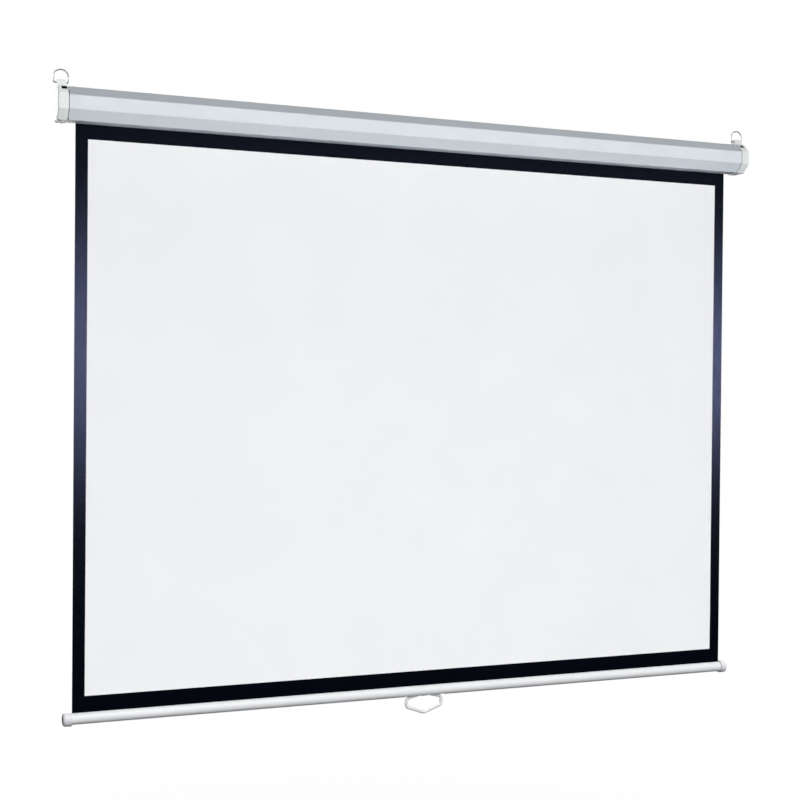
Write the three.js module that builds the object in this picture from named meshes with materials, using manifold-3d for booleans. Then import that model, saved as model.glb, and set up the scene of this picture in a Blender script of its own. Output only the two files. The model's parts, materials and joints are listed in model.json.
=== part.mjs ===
// Pull-down projection screen, worked by hand, with a 4:3 picture.
// Millimetres. X runs along the case, Y from the viewer to the wall, Z up.
// The origin is the middle of the case's back face, which lies against the wall.

import * as THREE from 'three';
import { mergeVertices } from 'three/addons/utils/BufferGeometryUtils.js';
import Module from 'manifold-3d';

const wasm = await Module();
wasm.setup();

// The sheet: white picture area, black borders, and how far it hangs off the case's middle
const pictureWidth = 1600;
const pictureHeight = 1200;
const sideBorder = 27;
const topBorder = 31;
const bottomBorder = 35;
const sheetThickness = 0.4;
const sheetOffset = 4.8;

// Clearances: pieces that seat on each other, pieces that turn, and how far a cut runs on
const seatGap = 0.3;
const runningGap = 0.5;
const overrun = 4;

// The eight-sided case, rolled from steel sheet, with the sheet's slot low at its back
const caseHeight = 71;
const caseDepth = 80;
const caseChamfer = 20.5;
const caseOverSheet = 16;
const steelThickness = 1;
const bendRadius = 2.5;
const lipBendRadius = 1.2;
const slotAhead = 5.5;
const slotBehind = 6;
const lipHeight = 5;

// The moulded end caps
const capLength = 23.5;
const capProud = 1.5;
const capWall = 2.5;
const capEndWall = 3;
const capEdgeRadius = 5;
const shoulderThickness = 2;
const spigotLength = 9;
const spigotWall = 2;
const bossRadius = 9;
const bossLength = 8;
const pocketWidth = 12;
const pocketFromCase = 6;
const pocketHeight = 14;
const pocketFromTop = 3;

// The ear on each cap and the wire ring that hangs in it
const earWidth = 20;
const earInset = 1;
const earBase = 32;
const earHeight = 17;
const earBehindFront = 42;
const earTipRadius = 6.5;
const ringWire = 3.4;
const ringWidth = 31;
const ringHeight = 28.5;
const ringAxisHeight = 10;
const ringCornerRadius = 4;
const ringArchShare = 0.96;

// Screws that hold the caps in the case
const screwRadius = 1.3;
const screwHeadRadius = 3;
const screwHeadHeight = 1.6;
const screwLength = 6;
const screwFromCapShare = 0.5;
const screwRecess = 0.7;

// The spring roller
const rollerRadius = 20;
const rollerWall = 1.2;
const rollerOverCase = 1;
const plugFlangeRadius = 22.5;
const plugFlange = 3;
const plugDepth = 20;
const noseRadius = 9.6;
const noseLength = 20;

// The fixed arbor, its flat tongue, and the wound spring round it
const arborRadius = 5;
const rodRadius = 4;
const tongueWidth = 8;
const tongueThickness = 3;
const springWire = 2.2;
const springTurns = 36;
const springPitch = 5;
const collarLength = 20;

// The lock: a notched hub on the arbor and two pawls on the roller
const hubRadius = 11;
const hubThickness = 4;
const hubCollarRadius = 7;
const lockGap = 1;
const pawlPivotRadius = 17;
const pawlReach = 10;
const pawlWidth = 3;
const pawlEyeRadius = 3.6;
const pawlBite = 1.5;
const pawlLift = 2;
const pawlPinRadius = 1.5;
const pawlPinHeadRadius = 2.6;
const pawlPinHead = 1;

// The idler end
const idlerRadius = 4;
const idlerDepth = 16;
const idlerChamfer = 1;
const bushWall = 2.5;

// The bottom bar, a slotted tube with sleeve caps and a hem rod inside
const barRadius = 12.5;
const barWall = 1.2;
const barSlot = 2.4;
const barOverSheet = 20;
const barCapRadius = 15.5;
const barCapLength = 19;
const barCapWall = 3;
const barCapEdge = 2;
const hemRodRadius = 2.5;

// The pull handle, a six-sided loop whose barrel turns in a strap inside the bar
const handleOffset = -4;
const handleHalfWidth = 45;
const handleThickness = 8;
const handleDepth = 7;
const handleTopCorner = 16.5;
const handleBottomCorner = 36;
const handleTip = 52;
const handleCornerRadius = 8;
const barrelRadius = 3;
const barrelHalfLength = 14;
const handleAxisDrop = 8.7;
const handleWindowHalfLength = 52;
const handleWindowHalfWidth = 8;
const strapThickness = 1;
const strapWidth = 16;
const strapLegRise = 6.5;

// Counts of flat sides and steps that stand for round forms
const roundSides = 32;
const smallSides = 16;
const wireSides = 8;
const springSides = 5;
const springStepsPerTurn = 8;
const bendSteps = 3;
const cornerSteps = 5;
const archSteps = 9;
const edgeSteps = 4;
const swingSteps = 6;

// Places worked out from the sizes above
const sheetWidth = pictureWidth + 2 * sideBorder;
const caseHalf = sheetWidth / 2 + caseOverSheet;
const halfHeight = caseHeight / 2;
const halfDepth = caseDepth / 2;
const bevelReach = halfHeight + halfDepth - caseChamfer;
const rollerY = - halfDepth;
const wrapRadius = rollerRadius + seatGap + sheetThickness;
const sheetFront = rollerY + wrapRadius + seatGap;
const sheetY = sheetFront + sheetThickness / 2;
const barZ = - halfHeight - topBorder - pictureHeight - bottomBorder - barRadius;
const barHalf = sheetWidth / 2 + barOverSheet;
const rollerHalf = caseHalf + rollerOverCase;
const slotFront = sheetFront - slotAhead;
const slotRear = sheetFront + sheetThickness + slotBehind;
const slotRearZ = slotRear + halfDepth - bevelReach;

const unitX = new THREE.Vector3( 1, 0, 0 );
const unitY = new THREE.Vector3( 0, 1, 0 );
const unitZ = new THREE.Vector3( 0, 0, 1 );

// Finishes: colour, roughness, metalness
const finishes = {
	paintedSteel: [ 0xe6e9ee, 0.45, 0.1 ],
	whitePlastic: [ 0xf2f2f0, 0.5, 0 ],
	naturalPlastic: [ 0xd9d6cc, 0.55, 0 ],
	brightSteel: [ 0xc8cacc, 0.25, 1 ],
	springSteel: [ 0x8e9092, 0.4, 1 ],
	paintedBar: [ 0xe9ebee, 0.35, 0.15 ],
	screenCloth: [ 0xf0f1f3, 0.9, 0 ],
	darkCloth: [ 0x101014, 0.85, 0 ]
};

// Geometry that encloses a volume, with shared corners merged and faces pointing out
function closedGeometry( geometry ) {

	const bare = geometry.clone();
	bare.deleteAttribute( 'normal' );
	bare.deleteAttribute( 'uv' );
	const merged = mergeVertices( bare );
	const places = merged.getAttribute( 'position' );
	const old = merged.getIndex().array;
	const index = [];
	const [ a, b, c ] = [ new THREE.Vector3(), new THREE.Vector3(), new THREE.Vector3() ];
	let volume = 0;
	for ( let i = 0; i < old.length; i += 3 ) {

		if ( old[ i ] === old[ i + 1 ] || old[ i + 1 ] === old[ i + 2 ] || old[ i ] === old[ i + 2 ] ) continue;
		index.push( old[ i ], old[ i + 1 ], old[ i + 2 ] );
		a.fromBufferAttribute( places, old[ i ] );
		b.fromBufferAttribute( places, old[ i + 1 ] );
		c.fromBufferAttribute( places, old[ i + 2 ] );
		volume += a.dot( b.cross( c ) );

	}

	merged.setIndex( volume < 0 ? index.reverse() : index );
	return merged;

}

function solidOf( geometry ) {

	const closed = closedGeometry( geometry );
	const vertProperties = new Float32Array( closed.getAttribute( 'position' ).array );
	const triVerts = new Uint32Array( closed.getIndex().array );
	return new wasm.Manifold( new wasm.Mesh( { numProp: 3, vertProperties, triVerts } ) );

}

function geometryOf( solid ) {

	const mesh = solid.getMesh();
	const geometry = new THREE.BufferGeometry();
	geometry.setAttribute( 'position', new THREE.BufferAttribute( mesh.vertProperties, mesh.numProp ) );
	geometry.setIndex( new THREE.BufferAttribute( mesh.triVerts, 1 ) );
	return geometry;

}

function joined( first, ...others ) {

	return geometryOf( others.reduce( ( solid, other ) => solid.add( solidOf( other ) ), solidOf( first ) ) );

}

function cut( first, ...tools ) {

	return geometryOf( tools.reduce( ( solid, tool ) => solid.subtract( solidOf( tool ) ), solidOf( first ) ) );

}

function mirroredX( geometry ) {

	return closedGeometry( geometry.clone().scale( - 1, 1, 1 ) );

}

// A flat outline in Y and Z, drawn out along X; each of its arcs has a count of sides
function alongX( shape, from, to, sides = smallSides ) {

	const options = { depth: to - from, bevelEnabled: false, curveSegments: sides / 2 };
	const geometry = new THREE.ExtrudeGeometry( shape, options );
	geometry.applyMatrix4( new THREE.Matrix4().makeBasis( unitY, unitZ, unitX ) );
	return geometry.translate( from, 0, 0 );

}

// Pairs of place along X and radius, turned about X; the profile closes on itself or on the axis
function turned( profile, sides = roundSides ) {

	const points = profile.map( ( [ x, radius ] ) => new THREE.Vector2( radius, x ) );
	return new THREE.LatheGeometry( points, sides ).rotateZ( - Math.PI / 2 );

}

function rod( radius, from, to, sides = roundSides ) {

	return turned( [ [ from, 0 ], [ from, radius ], [ to, radius ], [ to, 0 ] ], sides );

}

function sleeve( inner, outer, from, to, sides = roundSides ) {

	return turned( [ [ from, inner ], [ from, outer ], [ to, outer ], [ to, inner ], [ from, inner ] ], sides );

}

function block( x, y, z ) {

	const geometry = new THREE.BoxGeometry( x[ 1 ] - x[ 0 ], y[ 1 ] - y[ 0 ], z[ 1 ] - z[ 0 ] );
	return geometry.translate( ( x[ 0 ] + x[ 1 ] ) / 2, ( y[ 0 ] + y[ 1 ] ) / 2, ( z[ 0 ] + z[ 1 ] ) / 2 );

}

// The corners of a path, each rounded to its own radius
function roundedPath( corners, radii, steps, closed = false ) {

	const path = [];
	corners.forEach( ( corner, i ) => {

		const radius = radii[ i ];
		if ( ! radius || ( ! closed && ( i === 0 || i === corners.length - 1 ) ) ) {

			path.push( corner.clone() );
			return;

		}

		const before = corners[ ( i + corners.length - 1 ) % corners.length ];
		const after = corners[ ( i + 1 ) % corners.length ];
		const inward = corner.clone().sub( before ).normalize();
		const onward = after.clone().sub( corner ).normalize();
		const turn = Math.atan2( inward.cross( onward ), inward.dot( onward ) );
		const start = corner.clone().addScaledVector( inward, - radius * Math.tan( Math.abs( turn ) / 2 ) );
		const side = new THREE.Vector2( - inward.y, inward.x ).multiplyScalar( Math.sign( turn ) * radius );
		const centre = start.clone().add( side );
		for ( let k = 0; k <= steps; k ++ ) path.push( start.clone().rotateAround( centre, turn * k / steps ) );

	} );
	return path;

}

// The path moved to its right by a distance, with mitred corners
function offsetPath( path, distance ) {

	return path.map( ( point, i ) => {

		const before = path[ Math.max( i - 1, 0 ) ];
		const after = path[ Math.min( i + 1, path.length - 1 ) ];
		const inward = ( i === 0 ? after.clone().sub( point ) : point.clone().sub( before ) ).normalize();
		const onward = ( i === path.length - 1 ? inward.clone() : after.clone().sub( point ).normalize() );
		const middle = inward.clone().add( onward ).normalize();
		const reach = distance / middle.dot( onward );
		return new THREE.Vector2( point.x + middle.y * reach, point.y - middle.x * reach );

	} );

}

// Rings of equal count joined side to side; open ends are closed by convex faces
function loft( rings, looped = false ) {

	const count = rings[ 0 ].length;
	const index = [];
	const bands = looped ? rings.length : rings.length - 1;
	for ( let i = 0; i < bands; i ++ ) {

		const here = i * count;
		const there = ( ( i + 1 ) % rings.length ) * count;
		for ( let k = 0; k < count; k ++ ) {

			const next = ( k + 1 ) % count;
			index.push( here + k, here + next, there + next, here + k, there + next, there + k );

		}

	}

	const last = ( rings.length - 1 ) * count;
	for ( let k = 1; k < count - 1 && ! looped; k ++ ) {

		index.push( 0, k + 1, k, last, last + k, last + k + 1 );

	}

	const geometry = new THREE.BufferGeometry().setFromPoints( rings.flat() );
	geometry.setIndex( index );
	return closedGeometry( geometry );

}

// An oval section carried along a path that lies in X and Z
function sweep( path, inPlane, across, looped = false ) {

	const rings = path.map( ( point, i ) => {

		const before = looped ? path[ ( i + path.length - 1 ) % path.length ] : path[ Math.max( i - 1, 0 ) ];
		const after = looped ? path[ ( i + 1 ) % path.length ] : path[ Math.min( i + 1, path.length - 1 ) ];
		const ahead = after.clone().sub( before ).normalize();
		const ring = [];
		for ( let k = 0; k < wireSides; k ++ ) {

			const angle = 2 * Math.PI * ( k + 0.5 ) / wireSides;
			const out = inPlane * Math.cos( angle );
			const y = across * Math.sin( angle );
			ring.push( new THREE.Vector3( point.x - ahead.y * out, y, point.y + ahead.x * out ) );

		}

		return ring;

	} );
	return loft( rings, looped );

}

// The case's eight corners in Y and Z, grown outward by one distance and at the wall by another
function caseOutline( grown, grownBehind = grown ) {

	const reach = bevelReach + grown * Math.SQRT2;
	const top = halfHeight + grown;
	const front = halfDepth + grown;
	const rear = halfDepth + grownBehind;
	return [
		[ top - reach, - top ], [ reach - top, - top ], [ rear, rear - reach ], [ rear, reach - rear ],
		[ reach - top, top ], [ top - reach, top ], [ - front, reach - front ], [ - front, front - reach ]
	].map( ( [ y, z ] ) => new THREE.Vector2( y - halfDepth, z ) );

}

function caseShell() {

	const outline = caseOutline( 0 );
	const corners = [
		new THREE.Vector2( slotFront, - halfHeight + lipHeight ),
		new THREE.Vector2( slotFront, - halfHeight ),
		outline[ 0 ], outline[ 7 ], outline[ 6 ], outline[ 5 ], outline[ 4 ], outline[ 3 ], outline[ 2 ],
		new THREE.Vector2( slotRear, slotRearZ ),
		new THREE.Vector2( slotRear, slotRearZ + lipHeight )
	];
	const radii = corners.map( ( corner ) => outline.includes( corner ) ? bendRadius : lipBendRadius );
	const outside = roundedPath( corners, radii, bendSteps );
	const inside = offsetPath( outside, steelThickness );
	const sheet = alongX( new THREE.Shape( [ ...outside, ...inside.reverse() ] ), - caseHalf, caseHalf );
	return cut( sheet, ...screwPlaces().map( ( place ) => place.hole ) );

}

// Screws go square through the rear chamfers into the caps, midway between the slot and the wall
function screwPlaces() {

	const along = caseHalf - spigotLength * screwFromCapShare;
	const y = slotRear / 2;
	const z = bevelReach - halfDepth - y;
	const places = [];
	for ( const side of [ - 1, 1 ] ) {

		for ( const upper of [ - 1, 1 ] ) {

			const out = new THREE.Vector3( 0, Math.SQRT1_2, upper * Math.SQRT1_2 );
			const seat = new THREE.Vector3( side * along, y, upper * z );
			const turn = new THREE.Quaternion().setFromUnitVectors( unitX, out );
			const hole = rod( screwRadius + seatGap, - screwLength - overrun, overrun, smallSides );
			hole.applyQuaternion( turn ).translate( seat.x, seat.y, seat.z );
			places.push( { side, upper, seat, turn, hole } );

		}

	}

	return places;

}

function capScrew() {

	return turned( [
		[ - screwLength, 0 ], [ - screwLength + screwRadius, screwRadius ], [ seatGap, screwRadius ],
		[ seatGap, screwHeadRadius ], [ seatGap + screwHeadHeight / 2, screwHeadRadius ],
		[ seatGap + screwHeadHeight, screwHeadRadius - screwRecess ],
		[ seatGap + screwHeadHeight, screwRecess ], [ seatGap + screwHeadHeight - screwRecess, 0 ]
	], smallSides );

}

function sectionAt( x, outline ) {

	return outline.map( ( point ) => new THREE.Vector3( x, point.x, point.y ) );

}

// The outer body of a cap, its edge rounded towards the end face
function capBody() {

	const rings = [ sectionAt( 0, caseOutline( capProud, 0 ) ) ];
	for ( let i = 0; i <= edgeSteps; i ++ ) {

		const angle = i / edgeSteps * Math.PI / 2;
		const inset = capEdgeRadius * ( 1 - Math.cos( angle ) );
		const x = capLength - capEdgeRadius * ( 1 - Math.sin( angle ) );
		rings.push( sectionAt( x, caseOutline( capProud - inset, - inset ) ) );

	}

	return loft( rings );

}

// The ear tapers from a wide foot to a round tip
function earShape() {

	const tip = new THREE.Vector2( - caseDepth + earBehindFront, halfHeight + earHeight - earTipRadius );
	const foot = new THREE.Vector2( earBase / 2, halfHeight - capWall - tip.y );
	const lean = Math.acos( earTipRadius / foot.length() ) - Math.atan2( - foot.y, foot.x );
	const shape = new THREE.Shape();
	shape.moveTo( tip.x - foot.x, tip.y + foot.y );
	shape.lineTo( tip.x + foot.x, tip.y + foot.y );
	shape.absarc( tip.x, tip.y, earTipRadius, lean, Math.PI - lean, false );
	return shape;

}

// The dark pocket in the upper front chamfer, just ahead of the ear
function capPocket() {

	const outline = caseOutline( capProud );
	const along = outline[ 6 ].clone().sub( outline[ 5 ] ).normalize();
	const middle = outline[ 5 ].clone().addScaledVector( along, pocketFromTop + pocketHeight / 2 );
	const cutter = new THREE.BoxGeometry( pocketWidth, pocketHeight, 2 * ( capWall + capProud ) );
	cutter.rotateX( Math.atan2( along.y, along.x ) );
	return cutter.translate( pocketFromCase + pocketWidth / 2, middle.x, middle.y );

}

// A cap for the right end, with x counted from the case's end outward
function endCap( socket ) {

	const innerEnd = capLength - capEndWall;
	const spigotOut = - steelThickness - seatGap;
	const spigotIn = spigotOut - spigotWall;
	const earFrom = capLength - earInset - earWidth;
	const slotNotch = block(
		[ - spigotLength - overrun, 0 ],
		[ slotFront - steelThickness - runningGap, slotRear + steelThickness + runningGap ],
		[ - halfHeight - overrun, slotRearZ + lipHeight + runningGap ]
	);
	const spigot = alongX( new THREE.Shape( caseOutline( spigotOut ) ), - spigotLength, shoulderThickness );
	const shell = cut(
		joined( capBody(), spigot ),
		alongX( new THREE.Shape( caseOutline( capProud - capWall, - capWall ) ), shoulderThickness, innerEnd ),
		alongX( new THREE.Shape( caseOutline( spigotIn ) ), - spigotLength - overrun, shoulderThickness + overrun ),
		slotNotch,
		capPocket()
	);
	const boss = rod( bossRadius, innerEnd - bossLength, innerEnd + capEndWall / 2 ).translate( 0, rollerY, 0 );
	const ear = alongX( earShape(), earFrom, earFrom + earWidth );
	return cut( joined( shell, boss, ear ), socket, earHole( earFrom ) );

}

// The ring's hole runs through the ear near its tip, clear of the cap's wall
function earHole( earFrom ) {

	const hole = rod( ringWire / 2 + runningGap, earFrom - overrun, earFrom + earWidth + overrun, smallSides );
	return hole.translate( 0, - caseDepth + earBehindFront, halfHeight + ringAxisHeight );

}

function tongueSocket() {

	const across = tongueWidth / 2 + seatGap;
	const thick = tongueThickness / 2 + seatGap;
	const from = capLength - capEndWall - bossLength - overrun;
	const hole = block( [ from, capLength - capEndWall ], [ - across, across ], [ - thick, thick ] );
	return hole.translate( 0, rollerY, 0 );

}

function idlerSocket() {

	const from = capLength - capEndWall - bossLength - overrun;
	return rod( idlerRadius + seatGap, from, capLength - capEndWall ).translate( 0, rollerY, 0 );

}

// A D-shaped wire ring, upright over its axis
function hangRing() {

	const half = ringWidth / 2;
	const corners = [ [ - half, 0 ], [ half, 0 ], [ half, ringHeight ], [ - half, ringHeight ] ];
	const arch = half * ringArchShare;
	const radii = [ ringCornerRadius, ringCornerRadius, arch, arch ];
	const path = roundedPath( corners.map( ( [ x, z ] ) => new THREE.Vector2( x, z ) ), radii, archSteps, true );
	return sweep( path, ringWire / 2, ringWire / 2, true );

}

// The arbor stands still: a flat tongue in the cap and hub, a journal in the plug, and a long rod
function springArbor() {

	const tongueEnd = capLength - capEndWall - seatGap;
	const shoulder = rollerOverCase + plugFlange + lockGap;
	const journalEnd = - plugDepth - noseLength - overrun;
	const across = tongueWidth / 2;
	const thick = tongueThickness / 2;
	const rodEnd = - springReach() - collarLength;
	const body = turned( [
		[ rodEnd, 0 ], [ rodEnd, rodRadius ], [ journalEnd, rodRadius ],
		[ journalEnd, arborRadius ], [ shoulder, arborRadius ], [ shoulder, 0 ]
	] );
	return joined( body, block( [ shoulder - overrun, tongueEnd ], [ - across, across ], [ - thick, thick ] ) );

}

function springReach() {

	return plugDepth + noseLength / 2 + springTurns * springPitch - collarLength;

}

// The far end of the spring grips this collar, which is pinned on the rod's end
function springCollar() {

	return sleeve( rodRadius + seatGap, noseRadius, - springReach() - collarLength, - springReach() );

}

class SpringCurve extends THREE.Curve {

	constructor( radius, turns, pitch ) {

		super();
		Object.assign( this, { radius, turns, pitch } );

	}

	getPoint( t, target = new THREE.Vector3() ) {

		const angle = 2 * Math.PI * this.turns * t;
		const along = - this.turns * this.pitch * t;
		return target.set( along, this.radius * Math.cos( angle ), this.radius * Math.sin( angle ) );

	}

}

function torsionSpring() {

	const clearOfNose = noseRadius + seatGap + springWire / 2;
	const radius = clearOfNose / Math.cos( Math.PI / springStepsPerTurn );
	const curve = new SpringCurve( radius, springTurns, springPitch );
	const section = [];
	const centre = new THREE.Vector2();
	for ( let i = 0; i < springSides; i ++ ) {

		const corner = new THREE.Vector2( springWire / 2, 0 );
		section.push( corner.rotateAround( centre, 2 * Math.PI * i / springSides ) );

	}

	const steps = springTurns * springStepsPerTurn;
	console.log( 'least gap between spring turns, mm:', leastGap( curve, steps ).toFixed( 2 ) );
	const options = { steps, extrudePath: curve, bevelEnabled: false };
	const coil = new THREE.ExtrudeGeometry( new THREE.Shape( section ), options );
	return coil.translate( - plugDepth - noseLength / 2, 0, 0 );

}

// The least distance between points half a turn or more apart on the coil, less the wire
function leastGap( curve, steps ) {

	const points = curve.getPoints( steps );
	let least = Infinity;
	points.forEach( ( point, i ) => {

		for ( let k = i + springStepsPerTurn / 2; k < points.length; k ++ ) {

			least = Math.min( least, point.distanceTo( points[ k ] ) );

		}

	} );
	return least - springWire;

}

// Both plugs close the roller's ends; the left one carries the pawls and the spring's near end
function leftPlug() {

	const face = rollerOverCase + plugFlange;
	const flangeFrom = rollerOverCase + seatGap;
	const inTube = rollerRadius - rollerWall - seatGap;
	const bore = arborRadius + runningGap;
	const body = turned( [
		[ - plugDepth - noseLength, bore ], [ - plugDepth - noseLength, noseRadius ], [ - plugDepth, noseRadius ],
		[ - plugDepth, inTube ], [ flangeFrom, inTube ], [ flangeFrom, plugFlangeRadius ],
		[ face, plugFlangeRadius ], [ face, bore ], [ - plugDepth - noseLength, bore ]
	] );
	const hole = rod( pawlPinRadius + seatGap, rollerOverCase - overrun, face + overrun, smallSides );
	const pinHoles = [ - 1, 1 ].map( ( way ) => hole.clone().translate( 0, 0, way * pawlPivotRadius ) );
	return cut( body, ...pinHoles );

}

function rightPlug() {

	const face = rollerOverCase + plugFlange;
	const flangeFrom = rollerOverCase + seatGap;
	const inTube = rollerRadius - rollerWall - seatGap;
	const bore = idlerRadius + runningGap + bushWall + seatGap;
	return turned( [
		[ - plugDepth, bore ], [ - plugDepth, inTube ], [ flangeFrom, inTube ], [ flangeFrom, plugFlangeRadius ],
		[ face, plugFlangeRadius ], [ face, bore ], [ - plugDepth, bore ]
	] );

}

function idlerBush() {

	const inner = idlerRadius + runningGap;
	return sleeve( inner, inner + bushWall, - plugDepth, rollerOverCase + plugFlange );

}

function idlerPin() {

	const end = capLength - capEndWall - seatGap;
	return turned( [
		[ - idlerDepth, 0 ], [ - idlerDepth, idlerRadius - idlerChamfer ],
		[ - idlerDepth + idlerChamfer, idlerRadius ], [ end, idlerRadius ], [ end, 0 ]
	] );

}

// How far from straight across a pawl points when its tip stands at a given radius
function pawlAngle( tipRadius ) {

	const squares = tipRadius ** 2 - pawlPivotRadius ** 2 - pawlReach ** 2;
	return Math.asin( squares / ( 2 * pawlPivotRadius * pawlReach ) );

}

const pawlLifted = pawlAngle( hubRadius + pawlLift );
const pawlEngaged = pawlAngle( hubRadius - pawlBite );

// A pawl's outline about its pivot, grown by a clearance, with its finger at an angle
function pawlShape( angle, grown ) {

	const half = pawlWidth / 2 + grown;
	const eye = pawlEyeRadius + grown;
	const neck = Math.asin( half / eye );
	const shape = new THREE.Shape();
	const tip = new THREE.Vector2( pawlReach * Math.cos( angle ), pawlReach * Math.sin( angle ) );
	shape.absarc( 0, 0, eye, angle + neck, angle - neck + 2 * Math.PI, false );
	shape.absarc( tip.x, tip.y, half, angle - Math.PI / 2, angle + Math.PI / 2, false );
	return shape;

}

function pawl() {

	const shape = pawlShape( pawlLifted, 0 );
	const hole = new THREE.Path();
	hole.absarc( 0, 0, pawlPinRadius + seatGap, 0, 2 * Math.PI, true );
	shape.holes.push( hole );
	const from = rollerOverCase + plugFlange + lockGap + seatGap;
	return alongX( shape, from, from + hubThickness );

}

function pawlPin() {

	const from = rollerOverCase + seatGap;
	const under = rollerOverCase + plugFlange + lockGap + hubThickness + 2 * seatGap;
	return turned( [
		[ from, 0 ], [ from, pawlPinRadius ], [ under, pawlPinRadius ], [ under, pawlPinHeadRadius ],
		[ under + pawlPinHead, pawlPinHeadRadius ], [ under + pawlPinHead, 0 ]
	], smallSides );

}

// The hub's notches are as wide as the pawls' fingers sweep on their way in
function lockHub() {

	const from = rollerOverCase + plugFlange + lockGap + seatGap;
	const boss = capLength - capEndWall - bossLength - seatGap;
	const body = joined( rod( hubRadius, from, from + hubThickness ), rod( hubCollarRadius, from, boss ) );
	const across = tongueWidth / 2 + seatGap;
	const thick = tongueThickness / 2 + seatGap;
	const cutters = [ block( [ from - overrun, boss + overrun ], [ - across, across ], [ - thick, thick ] ) ];
	for ( let i = 0; i <= swingSteps; i ++ ) {

		const angle = THREE.MathUtils.lerp( pawlEngaged, pawlLifted, i / swingSteps );
		const finger = alongX( pawlShape( angle, seatGap ), from - overrun, from + hubThickness + overrun );
		finger.translate( 0, 0, pawlPivotRadius );
		cutters.push( finger, finger.clone().rotateX( Math.PI ) );

	}

	return cut( body, ...cutters );

}

function hangingSheet() {

	const bottom = barZ + barRadius - barWall;
	const half = sheetWidth / 2;
	return block( [ - half, half ], [ - sheetThickness / 2, sheetThickness / 2 ], [ bottom, 0 ] );

}

// The tube's slot faces up, and its window faces down for the handle
function barTube() {

	const lip = Math.asin( barSlot / 2 / barRadius );
	const innerLip = Math.asin( barSlot / 2 / ( barRadius - barWall ) );
	const up = Math.PI / 2;
	const shape = new THREE.Shape();
	shape.absarc( 0, 0, barRadius, up + lip, up - lip + 2 * Math.PI, false );
	shape.absarc( 0, 0, barRadius - barWall, up - innerLip, up + innerLip, true );
	const half = barHalf - barCapWall - seatGap;
	const window = block(
		[ handleOffset - handleWindowHalfLength, handleOffset + handleWindowHalfLength ],
		[ - handleWindowHalfWidth, handleWindowHalfWidth ],
		[ - barRadius - overrun, - handleAxisDrop + barrelRadius ]
	);
	return cut( alongX( shape, - half, half, roundSides ), window );

}

function barCap() {

	const bore = barRadius + seatGap;
	const edge = barCapEdge;
	return turned( [
		[ 0, bore ], [ 0, barCapRadius - edge / 2 ], [ edge / 2, barCapRadius ],
		[ barCapLength - edge, barCapRadius ],
		[ barCapLength - edge + edge * Math.SQRT1_2, barCapRadius - edge * ( 1 - Math.SQRT1_2 ) ],
		[ barCapLength, barCapRadius - edge ], [ barCapLength, 0 ],
		[ barCapLength - barCapWall, 0 ], [ barCapLength - barCapWall, bore ], [ 0, bore ]
	] );

}

// The strap's loop carries the barrel, and its feet rest on the tube's inner wall
function handleStrap() {

	const inner = barrelRadius + seatGap;
	const outer = inner + strapThickness;
	const footZ = strapLegRise;
	const wall = barRadius - barWall - seatGap;
	const footHalf = Math.sqrt( wall ** 2 - ( footZ - handleAxisDrop ) ** 2 );
	const path = [ new THREE.Vector2( - footHalf, footZ ), new THREE.Vector2( - inner, footZ ) ];
	for ( let i = 0; i <= smallSides; i ++ ) {

		const angle = Math.PI + i / smallSides * Math.PI;
		path.push( new THREE.Vector2( inner * Math.cos( angle ), inner * Math.sin( angle ) ) );

	}

	path.push( new THREE.Vector2( inner, footZ ), new THREE.Vector2( footHalf, footZ ) );
	const below = offsetPath( path, outer - inner );
	const shape = new THREE.Shape( [ ...path, ...below.reverse() ] );
	return alongX( shape, - strapWidth / 2, strapWidth / 2 );

}

// The handle's loop about its own axis, closed at the top by the barrel
function pullHandle() {

	const drop = handleAxisDrop;
	const halfLoop = [
		[ barrelHalfLength, 0 ],
		[ handleHalfWidth, drop - handleTopCorner ],
		[ handleHalfWidth, drop - handleBottomCorner ]
	];
	const corners = [
		...halfLoop, [ 0, drop - handleTip ], ...halfLoop.map( ( [ x, z ] ) => [ - x, z ] ).reverse()
	].map( ( [ x, z ] ) => new THREE.Vector2( x, z ) );
	const path = roundedPath( corners, corners.map( () => handleCornerRadius ), cornerSteps );
	const loop = sweep( path, handleThickness / 2, handleDepth / 2 );
	return joined( loop, rod( barrelRadius, - barrelHalfLength, barrelHalfLength, smallSides ) );

}

function piece( group, name, geometry, finish, x = 0, y = 0, z = 0 ) {

	const [ color, roughness, metalness ] = finishes[ finish ];
	const material = new THREE.MeshStandardMaterial( { color, roughness, metalness } );
	const mesh = new THREE.Mesh( closedGeometry( geometry ), material );
	mesh.name = name;
	mesh.position.set( x, y, z );
	group.add( mesh );
	return mesh;

}

function caseGroup() {

	const group = new THREE.Group();
	const capAt = caseHalf + seatGap;
	const ringAt = capAt + capLength - earInset - earWidth / 2;
	const ringY = - caseDepth + earBehindFront;
	const ringZ = halfHeight + ringAxisHeight;
	piece( group, 'case_shell', caseShell(), 'paintedSteel' );
	const holes = ( side ) => screwPlaces().filter( ( place ) => place.side === side )
		.map( ( place ) => place.hole.clone().translate( - side * capAt, 0, 0 ) );
	const leftCap = cut( mirroredX( endCap( tongueSocket() ) ), ...holes( - 1 ) );
	const rightCap = cut( endCap( idlerSocket() ), ...holes( 1 ) );
	piece( group, 'left_end_cap', leftCap, 'whitePlastic', - capAt );
	piece( group, 'right_end_cap', rightCap, 'whitePlastic', capAt );
	piece( group, 'left_hang_ring', hangRing(), 'brightSteel', - ringAt, ringY, ringZ );
	piece( group, 'right_hang_ring', hangRing(), 'brightSteel', ringAt, ringY, ringZ );
	for ( const { side, upper, seat, turn } of screwPlaces() ) {

		const name = `${ side < 0 ? 'left' : 'right' }_cap_screw_${ upper < 0 ? 'lower' : 'upper' }`;
		piece( group, name, capScrew(), 'springSteel', seat.x, seat.y, seat.z ).quaternion.copy( turn );

	}

	return group;

}

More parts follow.
